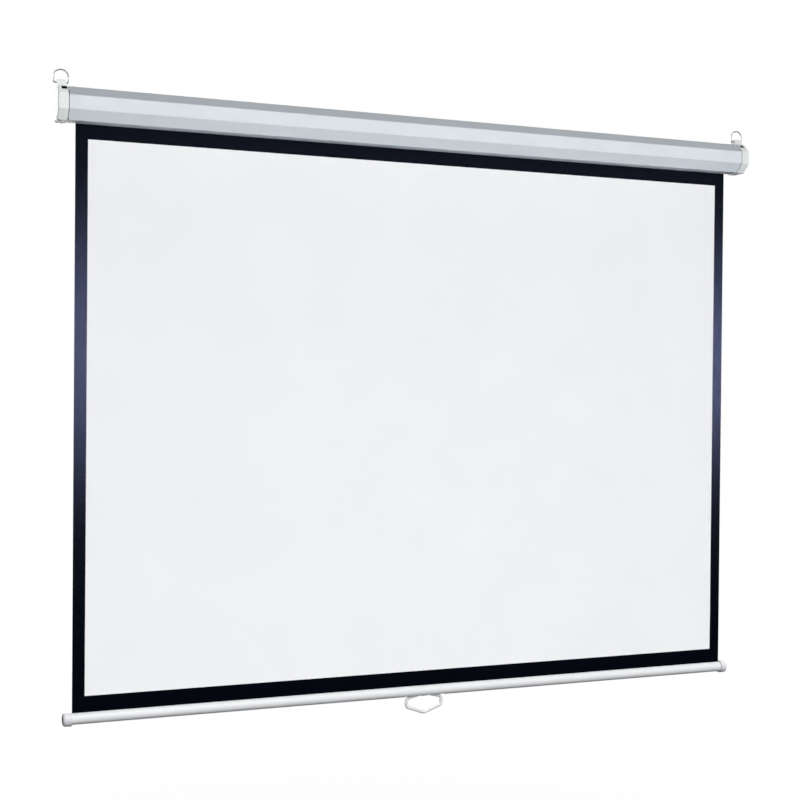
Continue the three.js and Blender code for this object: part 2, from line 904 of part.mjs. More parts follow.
// Everything on the roller's axis; the left end's pieces are made for the right and turned about
function rollerGroup() {

	const group = new THREE.Group();
	const inTube = rollerRadius - rollerWall;
	const half = sheetWidth / 2;
	group.position.set( 0, rollerY, 0 );
	piece( group, 'roller_tube', sleeve( inTube, rollerRadius, - rollerHalf, rollerHalf ), 'brightSteel' );
	const wraps = sleeve( rollerRadius + seatGap, wrapRadius, sheetOffset - half, sheetOffset + half );
	piece( group, 'sheet_wraps', wraps, 'darkCloth' );

	const capAt = caseHalf + seatGap;
	piece( group, 'spring_arbor', mirroredX( springArbor() ), 'springSteel', - capAt );
	piece( group, 'spring_collar', mirroredX( springCollar() ), 'naturalPlastic', - capAt );
	piece( group, 'torsion_spring', mirroredX( torsionSpring() ), 'springSteel', - capAt );
	piece( group, 'roller_plug_left', mirroredX( leftPlug() ), 'naturalPlastic', - capAt );
	piece( group, 'lock_hub', mirroredX( lockHub() ), 'springSteel', - capAt );
	for ( const way of [ 1, - 1 ] ) {

		const label = way > 0 ? 'upper' : 'lower';
		const turn = way > 0 ? 0 : Math.PI;
		const pin = piece( group, `${ label }_pawl_pin`, mirroredX( pawlPin() ), 'springSteel', - capAt );
		pin.position.z = way * pawlPivotRadius;
		const arm = piece( group, `${ label }_pawl`, mirroredX( pawl() ), 'naturalPlastic', - capAt );
		arm.position.z = way * pawlPivotRadius;
		arm.rotation.x = turn;

	}

	piece( group, 'roller_plug_right', rightPlug(), 'naturalPlastic', capAt );
	piece( group, 'idler_bush', idlerBush(), 'naturalPlastic', capAt );
	piece( group, 'idler_pin', idlerPin(), 'springSteel', capAt );
	return group;

}

function hangingGroup() {

	const group = new THREE.Group();
	const bar = new THREE.Group();
	const capAt = barHalf - barCapLength;
	const rodHalf = sheetWidth / 2;
	const rodZ = barRadius - barWall - seatGap - hemRodRadius;
	group.position.set( sheetOffset, sheetY, 0 );
	bar.position.set( 0, 0, barZ );
	group.add( bar );
	piece( group, 'screen_sheet', hangingSheet(), 'screenCloth' );
	piece( bar, 'hem_rod', rod( hemRodRadius, - rodHalf, rodHalf, smallSides ), 'naturalPlastic', 0, 0, rodZ );
	piece( bar, 'bar_tube', barTube(), 'paintedBar' );
	piece( bar, 'bar_cap_left', mirroredX( barCap() ), 'whitePlastic', - capAt );
	piece( bar, 'bar_cap_right', barCap(), 'whitePlastic', capAt );
	piece( bar, 'handle_strap', handleStrap(), 'brightSteel', handleOffset, 0, - handleAxisDrop );
	piece( bar, 'pull_handle', pullHandle(), 'whitePlastic', handleOffset, 0, - handleAxisDrop );
	return group;

}

const screen = new THREE.Group();
screen.add( caseGroup(), rollerGroup(), hangingGroup() );

export default screen;
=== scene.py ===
"""Finished pieces, materials and studio of a pull-down projection screen, for Blender 4.5."""

import json
import math

import bmesh
import bpy
from bpy.props import FloatProperty, FloatVectorProperty, PointerProperty
from mathutils import Matrix, Vector

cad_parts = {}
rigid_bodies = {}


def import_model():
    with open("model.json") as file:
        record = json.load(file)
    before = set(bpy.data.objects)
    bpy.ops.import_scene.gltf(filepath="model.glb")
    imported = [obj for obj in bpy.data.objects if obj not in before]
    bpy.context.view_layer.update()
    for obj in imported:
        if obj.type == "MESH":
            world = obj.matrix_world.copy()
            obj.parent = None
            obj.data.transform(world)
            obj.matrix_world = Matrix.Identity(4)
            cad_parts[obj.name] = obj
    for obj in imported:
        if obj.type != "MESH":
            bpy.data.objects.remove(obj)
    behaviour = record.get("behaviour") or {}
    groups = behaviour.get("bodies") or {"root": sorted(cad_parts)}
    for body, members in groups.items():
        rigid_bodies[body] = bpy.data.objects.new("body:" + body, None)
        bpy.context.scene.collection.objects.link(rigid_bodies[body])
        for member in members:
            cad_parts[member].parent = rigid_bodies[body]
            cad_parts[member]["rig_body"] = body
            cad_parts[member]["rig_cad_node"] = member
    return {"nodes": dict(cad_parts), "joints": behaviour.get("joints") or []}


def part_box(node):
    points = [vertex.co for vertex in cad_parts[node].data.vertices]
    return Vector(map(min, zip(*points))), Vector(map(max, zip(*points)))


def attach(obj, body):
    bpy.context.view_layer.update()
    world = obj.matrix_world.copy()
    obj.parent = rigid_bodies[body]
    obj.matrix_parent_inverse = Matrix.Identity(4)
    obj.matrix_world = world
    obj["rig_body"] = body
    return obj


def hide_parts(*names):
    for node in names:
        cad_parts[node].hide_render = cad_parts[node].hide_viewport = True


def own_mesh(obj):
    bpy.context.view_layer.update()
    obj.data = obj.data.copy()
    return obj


bl_info = {
    "name": "Pull-Down Projection Screen",
    "version": (1, 0, 0),
    "blender": (4, 5, 0),
    "location": "View3D > Sidebar > Screen",
    "description": "Builds a projection screen with its case, cloth, bar and spring roller",
    "category": "Object",
}

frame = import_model()

MM = 0.001
X, Y, Z = range(3)
SAME = 0.05 * MM  # places nearer than this are one
FACING = 0.9  # least share of a normal along the axis that its face looks along
OVERRUN = 10 * MM  # how far a cutter stands out of what it cuts

CASE_LOW, CASE_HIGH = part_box("case_shell")
CAP_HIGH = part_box("right_end_cap")[1]
SHEET_LOW, SHEET_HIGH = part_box("screen_sheet")
BAR_LOW, BAR_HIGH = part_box("bar_tube")
ROLLER_LOW, ROLLER_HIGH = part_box("roller_tube")
SCREWS = (
    "left_cap_screw_lower",
    "left_cap_screw_upper",
    "right_cap_screw_lower",
    "right_cap_screw_upper",
)

# Pieces that lamps are linked to by name
CASE_PIECE = "case_rolled_steel"
LEFT_CAP, RIGHT_CAP = "end_cap_left_moulding", "end_cap_right_moulding"
LEFT_RING, RIGHT_RING = "ring_left_wire", "ring_right_wire"
CLOTH_PIECE = "hanging_cloth"
BAR_PIECE = "bar_drawn_tube"
LEFT_SLEEVE, RIGHT_SLEEVE = "bar_cap_left_sleeve", "bar_cap_right_sleeve"
HANDLE_PIECE = "pull_handle_loop"
LOW_PIECES = (BAR_PIECE, LEFT_SLEEVE, RIGHT_SLEEVE, HANDLE_PIECE)
FLOOR = "floor"

# The camera fitted to the photograph, in metres and radians
CAMERA_PLACE = (-1.2662, -3.003, -0.5865)
CAMERA_YAW, CAMERA_PITCH, CAMERA_ROLL = map(math.radians, (21.89, -0.67, 0.51))


def joint(name):
    """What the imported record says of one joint."""
    return next(j for j in frame["joints"] if j["name"] == name)


def paint(red, green, blue):
    """A colour as it looks on a screen, 0 to 255 a channel, in Blender's linear light."""
    return tuple(
        ((c / 255 + 0.055) / 1.055) ** 2.4 if c > 10 else c / 255 / 12.92
        for c in (red, green, blue)
    )


def length(label, about, millimetres):
    """A length property."""
    return FloatProperty(
        name=label,
        description=about,
        default=millimetres * MM,
        unit="LENGTH",
        subtype="DISTANCE",
        precision=4,
    )


def tint(label, about, red, green, blue):
    """A colour property."""
    return FloatVectorProperty(
        name=label,
        description=about,
        default=paint(red, green, blue),
        min=0,
        max=1,
        size=3,
        subtype="COLOR",
    )


# ---------------------------------------------------------------- sizes and colours


class CaseSettings(bpy.types.PropertyGroup):
    """The rolled steel case."""

    chamfer: length("Chamfer", "Leg of the case's eight-sided section", 20.5)
    bend: length("Bend radius", "Outer radius of the long bends", 2.5)
    hem: length("Lip radius", "Outer radius where the slot's lips turn in", 1.2)
    lip: length("Lip height", "How far the slot's lips stand into the case", 5)
    ahead: length("Slot ahead", "From the sheet's front to the slot's front lip", 5.5)
    behind: length("Slot behind", "From the sheet's back to the slot's rear lip", 6)
    steel: length("Steel", "Thickness of the steel sheet", 1)
    hole: length("Screw hole", "Radius of the cap screws' holes", 1.6)
    edge: length("Edge", "Rounding of the steel's cut edges", 0.15)
    colour: tint("Paint", "Powder coat on the case", 206, 213, 219)


class CapSettings(bpy.types.PropertyGroup):
    """The two moulded end caps."""

    proud: length("Proud", "How far the cap stands out over the case", 1.5)
    reach: length("Length", "From the case's end to the cap's end face", 23.5)
    edge: length("Edge radius", "Rounding round the end face", 5)
    corner: length("Corner radius", "Rounding along the cap's long corners", 6)
    wall: length("Wall", "Thickness of the moulding", 2.5)
    spigot: length("Spigot", "How far the cap reaches into the case", 9)
    reveal: length("Reveal", "Gap between the cap's rim and the steel", 0.9)
    left_reveal: length("Left reveal", "How much wider that gap is at the left", 1.2)
    groove: length("Groove", "Depth of the gap between rim and steel", 6)
    play: length("Play", "From the steel's outer face to the spigot's", 1.3)
    collar: length("Collar", "Wall round the groove's floor", 1.5)
    pocket_width: length("Pocket width", "Width of the pocket in the upper chamfer", 12)
    pocket_height: length("Pocket height", "Length of the pocket down the chamfer", 11)
    pocket_depth: length("Pocket depth", "How deep the pocket is cut", 8)
    pocket_corner: length("Pocket corner", "Rounding of the pocket's corners", 1.5)
    pocket_in: length("Pocket inset", "From the cap's inner end to the pocket", 3.2)
    pocket_down: length("Pocket down", "From the chamfer's top edge to the pocket", 3)
    ear_width: length("Ear width", "Width of the ear along the case", 20)
    ear_foot: length("Ear foot", "Width of the ear's foot from front to back", 32)
    ear_tip: length("Ear tip", "Radius of the ear's round tip", 6.5)
    ear_back: length("Ear set back", "From the cap's end face to the ear", 1)
    ear_edge: length("Ear edge", "Rounding of the ear's edges", 0.8)
    ring_hole: length("Ring hole", "Radius of the ring's hole in the ear", 2.2)
    notch: length("Notch clearance", "Room for the slot's lips in the spigot", 1.5)
    notch_top: length("Notch top", "From the roller's axis down to that notch", 22)
    boss: length("Boss", "Radius of the boss that carries the roller", 9)
    boss_reach: length("Boss length", "From the end face to the boss's inner end", 11)
    socket: length("Socket", "Half the width of the sockets in the bosses", 4.3)
    socket_half: length("Tongue socket", "Half the height of the tongue's socket", 1.8)
    socket_floor: length("Socket floor", "Wall behind the sockets", 3)
    colour: tint("Plastic", "White plastic of the caps", 224, 228, 227)


class ScrewSettings(bpy.types.PropertyGroup):
    """The four screws that hold the caps."""

    head: length("Head", "Radius of the head", 3)
    seat: length("Seat", "Height of the head's underside", 0.3)
    top: length("Top", "Height of the head's top", 1.9)
    dome: length("Dome", "Rounding of the head's edge", 0.75)
    shoulder: length("Shoulder", "How far the head stands out past the shank", 1.7)
    shank: length("Shank", "Length of the shank", 5.2)
    point: length("Point", "Length of the point", 1.1)
    cross: length("Cross", "Half the length of the cross recess", 1.7)
    cross_half: length("Cross width", "Half the width of the recess's arms", 0.38)
    cross_floor: length("Cross floor", "Height of the recess's floor", 0.8)


class RingSettings(bpy.types.PropertyGroup):
    """The two wire rings that hang in the ears."""

    wire: length("Wire", "Diameter of the ring's wire", 3.4)
    foot: length("Foot radius", "Bend at the ring's two lower corners", 4)
    arch: length("Arch radius", "Bend at the ring's two upper corners", 14.88)
    colour: tint("Plating", "Bright plating on the wire", 176, 178, 181)


class SheetSettings(bpy.types.PropertyGroup):
    """The cloth that hangs, and its turns on the roller."""

    side: length("Side border", "Width of the black border at each side", 27)
    top: length("Top border", "Black border that shows below the case", 31)
    bottom: length("Bottom border", "Black border above the bar", 35)
    ripple: length("Ripple", "Height of the cloth's long shallow waves", 0.3)
    pitch: length("Turn", "How far each turn on the roller lies over the last", 0.42)
    gap: length("Turn gap", "From the hanging sheet to the outermost turn", 0.05)
    turns: FloatProperty(
        name="Turns", description="Turns of cloth that stay on the roller", default=1.25
    )
    white: tint("White", "Matt white coating", 241, 242, 244)
    black: tint("Black", "Printed borders", 2, 5, 10)
    back: tint("Back", "Black back of the cloth", 17, 17, 19)


class BarSettings(bpy.types.PropertyGroup):
    """The bottom bar."""

    wall: length("Wall", "Thickness of the tube's wall", 1.2)
    slot: length("Slot", "Width of the slot that holds the cloth", 2.4)
    edge: length("Edge", "Rounding of the tube's cut edges", 0.2)
    window: length("Window", "Length of the window for the handle", 104)
    window_width: length("Window width", "Width of that window", 16)
    window_top: length("Window top", "From the strap's underside to its top", 7.3)
    window_corner: length("Window corner", "Rounding of its corners", 3)
    cap_edge: length("Cap edge", "Rounding of the sleeve caps' ends", 7)
    cap_play: length("Cap play", "Gap between the tube and its sleeve caps", 0.3)
    cap_wall: length("Cap wall", "Thickness of the sleeve caps' ends", 3)
    cap_rim: length("Cap rim", "Rounding of the sleeve caps' rims", 0.4)
    cap_colour: tint("Cap plastic", "Plastic of the sleeve caps", 230, 231, 236)
    colour: tint("Paint", "Paint on the tube", 238, 240, 242)


class HandleSettings(bpy.types.PropertyGroup):
    """The pull handle."""

    thick: length("Thickness", "Thickness of the loop, seen from the front", 8)
    deep: length("Depth", "Thickness of the loop, seen from the side", 7)
    barrel: length("Barrel", "Radius of the barrel that turns in the strap", 3)
    barrel_half: length("Barrel half", "Half the length of the barrel", 14)
    shoulder: length("Shoulder", "From the barrel's axis to the shoulders", 7.8)
    side: length("Side", "From the barrel's axis to the lower corners", 27.3)
    tip: length("Tip", "From the barrel's axis to the lowest corner", 43.3)
    corner: length("Corner radius", "Bend at the loop's corners", 8)
    colour: tint("Plastic", "White plastic of the handle", 240, 241, 242)


class WorksSettings(bpy.types.PropertyGroup):
    """The roller, its spring and lock, and the handle's strap."""

    tube: tint("Tube", "Plating on the roller tube", 196, 198, 200)
    strap: tint("Strap", "Plating on the handle's strap", 200, 201, 203)
    steel_dark: tint("Dark steel", "Steel under the oil", 150, 152, 155)
    steel_light: tint("Light steel", "Steel where the oil is thin", 186, 187, 189)
    plugs: tint("Plugs", "Natural plastic of the plugs", 214, 208, 192)
    collar: tint("Collar", "Natural plastic of the spring's collar", 210, 204, 188)
    pawls: tint("Pawls", "Natural plastic of the pawls", 216, 211, 196)


class StageSettings(bpy.types.PropertyGroup):
    """Floor and camera."""

    floor: length("Floor", "Height of the floor under the case", -2250)
    floor_colour: tint("Floor colour", "Plain pale floor", 244, 244, 244)
    lens: FloatProperty(name="Lens", description="Focal length", default=61.5, unit="CAMERA")


# ---------------------------------------------------------------- modelling by hand


def clear_selection():
    """Leaves nothing selected, so that the next operator acts on the new piece alone."""
    if bpy.context.mode != "OBJECT":
        bpy.ops.object.mode_set(mode="OBJECT")
    bpy.ops.object.select_all(action="DESELECT")


def focus(piece):
    """Makes the piece the only one selected, and the active one."""
    clear_selection()
    piece.select_set(True)
    bpy.context.view_layer.objects.active = piece


def settle(name):
    """Names the active piece and puts its place, turn and size into its mesh."""
    piece = bpy.context.active_object
    focus(piece)
    bpy.ops.object.transform_apply(location=True, rotation=True, scale=True)
    piece.name = piece.data.name = name
    return piece


def add_box(name, low, high):
    """Starts a piece from a cube between two corners."""
    clear_selection()
    low, high = Vector(low), Vector(high)
    bpy.ops.mesh.primitive_cube_add(
        size=1, location=(low + high) / 2, scale=high - low
    )
    return settle(name)


def add_round(name, radius, start, end, sides=64):
    """Starts a piece from a cylinder between two points."""
    clear_selection()
    start, end = Vector(start), Vector(end)
    axis = end - start
    bpy.ops.mesh.primitive_cylinder_add(
        vertices=sides,
        radius=radius,
        depth=axis.length,
        location=(start + end) / 2,
        rotation=axis.to_track_quat("Z", "Y").to_euler(),
    )
    return settle(name)


def edit(piece):
    """Goes into edit mode on the piece."""
    focus(piece)
    bpy.ops.object.mode_set(mode="EDIT")


def leave_edit():
    """Goes back to object mode."""
    bpy.ops.object.mode_set(mode="OBJECT")


def choose(piece, kind, wanted):
    """In edit mode, selects the piece's faces, edges or corners that wanted() is true of."""
    bpy.ops.mesh.select_mode(type=kind)
    mesh = bmesh.from_edit_mesh(piece.data)
    mesh.normal_update()
    groups = {"VERT": mesh.verts, "EDGE": mesh.edges, "FACE": mesh.faces}
    for group in groups.values():
        for element in group:
            element.select = False
    for element in [element for element in groups[kind] if wanted(element)]:
        element.select_set(True)
    mesh.select_flush_mode()
    bmesh.update_edit_mesh(piece.data)


def choose_all():
    """In edit mode, selects the whole piece."""
    bpy.ops.mesh.select_all(action="SELECT")


def near(value, target):
    """Whether two lengths agree."""
    return abs(value - target) < SAME


def middle(edge):
    """The middle of an edge."""
    return (edge.verts[0].co + edge.verts[1].co) / 2


def runs_along(edge):
    """Whether an edge runs along the case."""
    start, end = (corner.co for corner in edge.verts)
    return abs((end - start).normalized().x) > 0.99


def stands_up(edge):
    """Whether an edge stands upright."""
    start, end = (corner.co for corner in edge.verts)
    return near(start.x, end.x) and near(start.y, end.y)


def lies_at(axis, place):
    """A test for the edges that lie wholly at one place on an axis."""
    return lambda edge: all(near(corner.co[axis], place) for corner in edge.verts)


def is_end(face):
    """Whether a face closes one of the piece's two ends."""
    return abs(face.normal.x) > FACING


def extrude(x=0, y=0, z=0):
    """Extrudes what is selected by a step."""
    bpy.ops.mesh.extrude_region_move(TRANSFORM_OT_translate={"value": (x, y, z)})


def cut_along(depth):
    """Cuts the selected faces along the case, at a depth from its back."""
    bpy.ops.mesh.bisect(plane_co=(0, depth, 0), plane_no=(0, 1, 0))


def round_edges(width, steps=1, affect="EDGES"):
    """Bevels the selected edges or corners by a width along each face."""
    bpy.ops.mesh.bevel(offset_type="OFFSET", offset=width, segments=steps, affect=affect)


def tangent(radius, turn):
    """How far a bend of that radius reaches back from the corner, for a turn in degrees."""
    return radius * math.tan(math.radians(turn) / 2)


def apply(piece, kind, **settings):
    """Adds a modifier to the piece and applies it."""
    modifier = piece.modifiers.new(kind.title(), kind)
    for name, value in settings.items():
        setattr(modifier, name, value)
    focus(piece)
    bpy.ops.object.modifier_apply(modifier=modifier.name)


def combine(piece, tool, operation="DIFFERENCE"):
    """Cuts the tool from the piece, or joins it on, and removes the tool."""
    apply(piece, "BOOLEAN", operation=operation, object=tool, solver="EXACT")
    mesh = tool.data
    bpy.data.objects.remove(tool)
    bpy.data.meshes.remove(mesh)


def ease(piece, width, steps=2, above=50):
    """Rounds every edge that is sharper than an angle in degrees."""
    apply(
        piece,
        "BEVEL",
        width=width,
        segments=steps,
        limit_method="ANGLE",
        angle_limit=math.radians(above),
        use_clamp_overlap=True,
        harden_normals=False,
    )


def smooth(piece, angle, flat_faces=True):
    """Shades the piece smooth over gentle turns, and keeps its flat faces flat."""
    focus(piece)
    bpy.ops.object.shade_smooth_by_angle(angle=math.radians(angle))
    if flat_faces:
        apply(piece, "WEIGHTED_NORMAL", keep_sharp=True, weight=80)


def copy_of(piece, name):
    """A copy of the piece with its own mesh."""
    focus(piece)
    bpy.ops.object.duplicate(linked=False)
    twin = bpy.context.active_object
    twin.name = twin.data.name = name
    return twin


def mirrored(piece, name):
    """A copy of the piece for the other end of the case."""
    twin = copy_of(piece, name)
    bpy.ops.transform.resize(value=(-1, 1, 1), center_override=(0, 0, 0))
    bpy.ops.object.transform_apply(location=True, rotation=True, scale=True)
    edit(twin)
    choose_all()
    bpy.ops.mesh.normals_make_consistent(inside=False)
    leave_edit()
    return twin


def hand_over(piece, body, material, node):
    """Gives a finished piece its material and the body it rides on, and hides the node it
    stands for.
    """
    piece.data.materials.clear()
    piece.data.materials.append(material)
    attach(piece, body)
    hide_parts(node)


def finished_copy(node, edge, material, angle=40):
    """A copy of a CAD node with its doubles merged, its edges eased and its faces smooth."""
    body = frame["nodes"][node]["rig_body"]
    piece = copy_of(frame["nodes"][node], f"{node}_finished")
    piece.parent = None
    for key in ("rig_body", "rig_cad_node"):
        del piece[key]
    edit(piece)
    choose_all()
    bpy.ops.mesh.remove_doubles(threshold=0.001 * MM)
    bpy.ops.mesh.dissolve_limited(angle_limit=math.radians(1))
    leave_edit()
    if edge:
        ease(piece, edge, above=40)
    smooth(piece, angle)
    hand_over(piece, body, material, node)


# ---------------------------------------------------------------- materials


class Nodes:
    """A node tree, with short ways to add to it."""

    def __init__(self, tree):
        self.tree = tree

    def feed(self, socket, value):
        """Links another node's output to the socket, or sets the socket."""
        if isinstance(value, bpy.types.NodeSocket):
            self.tree.links.new(value, socket)
        elif socket.type == "RGBA":
            socket.default_value = (*value, 1)
        else:
            socket.default_value = value

    def add(self, kind, inputs=None, **settings):
        """Adds a node, and sets or links its inputs."""
        node = self.tree.nodes.new(kind)
        for name, value in settings.items():
            setattr(node, name, value)
        for name, value in (inputs or {}).items():
            self.feed(node.inputs[name], value)
        return node

    def reckon(self, operation, first, second=0.0, clamp=False):
        """One number from two."""
        inputs = {0: first, 1: second}
        node = self.add("ShaderNodeMath", inputs, operation=operation, use_clamp=clamp)
        return node.outputs[0]

    def product(self, first, *others):
        """All the numbers multiplied."""
        for other in others:
            first = self.reckon("MULTIPLY", first, other)
        return first

    def size(self, value):
        """A number without its sign."""
        return self.reckon("ABSOLUTE", value)


class Finish(Nodes):
    """The nodes of one material. Uniform values stand on the shader's own sockets."""

    def __init__(self, name, **sockets):
        self.material = bpy.data.materials.new(name)
        self.material.use_nodes = True
        super().__init__(self.material.node_tree)
        self.shader = self.tree.nodes["Principled BSDF"]
        for socket, value in sockets.items():
            self.feed(self.shader.inputs[socket.replace("_", " ")], value)

    def place(self, stretch=(1, 1, 1), source="Object"):
        """Coordinates in metres on the piece, stretched along each axis."""
        coordinates = self.add("ShaderNodeTexCoord").outputs[source]
        inputs = {"Vector": coordinates, "Scale": stretch}
        return self.add("ShaderNodeMapping", inputs).outputs["Vector"]

    def split(self, vector):
        """A vector's three numbers."""
        return self.add("ShaderNodeSeparateXYZ", {"Vector": vector}).outputs

    def noise(self, vector, scale, detail=2.0, rough=0.5):
        """Soft random variation, its scale counted per metre."""
        inputs = {
            "Vector": vector,
            "Scale": scale,
            "Detail": detail,
            "Roughness": rough,
        }
        return self.add("ShaderNodeTexNoise", inputs).outputs["Fac"]

    def ramp(self, value, start, end, low, high):
        """A number carried from one range to another, and held at its ends."""
        inputs = {
            "Value": value,
            "From Min": start,
            "From Max": end,
            "To Min": low,
            "To Max": high,
        }
        return self.add("ShaderNodeMapRange", inputs).outputs["Result"]

    def past(self, value, limit, blur):
        """0 up to a limit and 1 past it, over a blur."""
        return self.ramp(value, limit, limit + blur, 0, 1)

    def within(self, value, limit, blur):
        """1 up to a limit and 0 past it, over a blur."""
        return self.ramp(value, limit, limit + blur, 1, 0)

    def vary(self, noise, low, high, start=0.3, end=0.7):
        """Values from low to high that follow the noise between its usual bounds."""
        return self.ramp(noise, start, end, low, high)

    def blend(self, share, first, second):
        """One colour from two, by a share."""
        inputs = {0: share, 6: first, 7: second}
        return self.add("ShaderNodeMix", inputs, data_type="RGBA").outputs[2]

    def mottle(self, noise, first, second, start=0.3, end=0.7):
        """A colour that wanders between two as the noise does."""
        return self.blend(self.vary(noise, 0, 1, start, end), first, second)

    def bump(self, height, distance, strength=1.0, under=None):
        """Fine relief of a height in metres, over other relief."""
        inputs = {"Height": height, "Distance": distance, "Strength": strength}
        if under is not None:
            inputs["Normal"] = under
        return self.add("ShaderNodeBump", inputs).outputs["Normal"]

    def drive(self, **sockets):
        """Links values that vary over the surface to the shader."""
        for name, value in sockets.items():
            self.feed(self.shader.inputs[name.replace("_", " ")], value)
        return self.material


def darker(colour, share):
    """The colour with that share of its light."""
    return tuple(channel * share for channel in colour)


def powder_coat(colour):
    """Satin powder coat: orange peel, faint cloudiness, and small changes of gloss."""
    finish = Finish("powder_coat", Specular_IOR_Level=0.28)
    place = finish.place()
    clouds = finish.noise(place, scale=9, detail=3)
    shade = finish.mottle(clouds, darker(colour, 0.965), darker(colour, 1.02))
    peel = finish.noise(place, scale=700, rough=0.4)
    grain = finish.noise(place, scale=2600, detail=1)
    relief = finish.bump(peel, distance=0.04 * MM, strength=0.5)
    relief = finish.bump(grain, distance=0.008 * MM, strength=0.4, under=relief)
    rough = finish.vary(finish.noise(place, scale=60, detail=3), 0.38, 0.48)
    return finish.drive(Base_Color=shade, Roughness=rough, Normal=relief)


def painted_pocket_shade(finish, place, cap, case):
    """Painted shade: 1 in the caps' pockets and on the moulding's inside behind them, where the
    white plastic is painted nearly black in place of shade, and 0 outside.
    """
    skin, blur = 1.2 * MM, 0.1 * MM
    beside, up_and_down, behind = 1 * MM, 14 * MM, 34 * MM
    x, y, z = finish.split(place)
    centre, top_y, top_z, down = pocket_place(cap, case)
    half_x = cap.pocket_width / 2 + beside
    half_y = cap.pocket_height / 2 + up_and_down
    front = CASE_LOW.y - cap.proud + skin
    along = finish.size(finish.reckon("SUBTRACT", finish.size(x), centre))
    across = finish.reckon("SUBTRACT", finish.reckon("ADD", y, z), top_y + top_z - 2 * down)
    across = finish.size(finish.product(across, 1 / math.sqrt(2)))
    depth = finish.reckon("SUBTRACT", top_z - top_y, finish.reckon("SUBTRACT", z, y))
    return finish.product(
        finish.within(along, half_x, blur),
        finish.within(across, half_y, blur),
        finish.past(depth, skin, blur),
        finish.within(depth, behind, blur),
        finish.within(z, top_z - skin - blur, blur),
        finish.past(y, front, blur),
    )


def moulded_plastic(name, colour, rough, grain=1600, cloud=0.97, dark=None):
    """Moulded plastic: eroded tool texture, faint flow marks and slight gloss changes, with
    painted shade where a dark mask is given.
    """
    finish = Finish(name, Specular_IOR_Level=0.25)
    place = finish.place()
    flow = finish.noise(finish.place(stretch=(1, 1, 3)), scale=22, detail=4, rough=0.6)
    shade = finish.mottle(flow, darker(colour, cloud), darker(colour, 1.01))
    if dark:
        # Painted shade: the colour goes nearly black where the dark mask is 1
        shade = finish.blend(dark(finish, place), shade, darker(colour, 0.02))
    relief = finish.bump(finish.noise(place, grain), distance=0.03 * MM, strength=0.35)
    gloss = finish.vary(finish.noise(place, scale=140), rough - 0.05, rough + 0.06)
    return finish.drive(Base_Color=shade, Roughness=gloss, Normal=relief)


def plated_wire(name, colour):
    """Bright plating: fine drawing lines along the wire and a few duller spots."""
    finish = Finish(name, Metallic=1.0)
    spots = finish.noise(finish.place(), scale=420, detail=3)
    shade = finish.mottle(spots, colour, darker(colour, 0.8), start=0.55, end=0.75)
    lines = finish.noise(finish.place(stretch=(0.04, 1, 1)), scale=2400)
    relief = finish.bump(lines, distance=0.02 * MM, strength=0.25)
    rough = finish.vary(spots, 0.14, 0.32, start=0.35, end=0.75)
    return finish.drive(Base_Color=shade, Roughness=rough, Normal=relief)


def oiled_steel(name, works):
    """Plain steel with turning lines and a thin film of oil."""
    finish = Finish(name, Metallic=1.0)
    film = finish.noise(finish.place(), scale=90, detail=4, rough=0.6)
    shade = finish.mottle(film, works.steel_dark, works.steel_light, start=0.35, end=0.65)
    lines = finish.noise(finish.place(stretch=(1, 0.06, 0.06)), scale=2800)
    relief = finish.bump(lines, distance=0.03 * MM, strength=0.4)
    rough = finish.vary(film, 0.28, 0.46)
    return finish.drive(Base_Color=shade, Roughness=rough, Normal=relief)


def bar_paint(colour):
    """Paint on a drawn tube: faint lines along it, and soft gloss."""
    finish = Finish("bar_paint", Specular_IOR_Level=0.25)
    place = finish.place()
    drawn = finish.noise(finish.place(stretch=(0.01, 1, 1)), scale=900, detail=3)
    clouds = finish.noise(place, scale=16)
    both = finish.reckon("ADD", finish.product(drawn, 0.5), finish.product(clouds, 0.5))
    pale, bright = darker(colour, 0.96), darker(colour, 1.01)
    shade = finish.mottle(both, pale, bright, start=0.35, end=0.65)
    peel = finish.noise(place, scale=900)
    relief = finish.bump(drawn, distance=0.03 * MM, strength=0.5)
    relief = finish.bump(peel, distance=0.02 * MM, strength=0.4, under=relief)
    rough = finish.vary(clouds, 0.3, 0.4)
    return finish.drive(Base_Color=shade, Roughness=rough, Normal=relief)


def weave(finish, across, onward, threads):
    """The height of a plain weave, with a count of threads per metre."""
    turn = 2 * math.pi * threads / 2
    waves = (finish.reckon("SINE", finish.product(way, turn)) for way in (across, onward))
    return finish.product(*waves)


def lining(finish, fibre, sheet):
    """The cloth's black back."""
    return finish.blend(fibre, darker(sheet.back, 0.7), darker(sheet.back, 1.6))


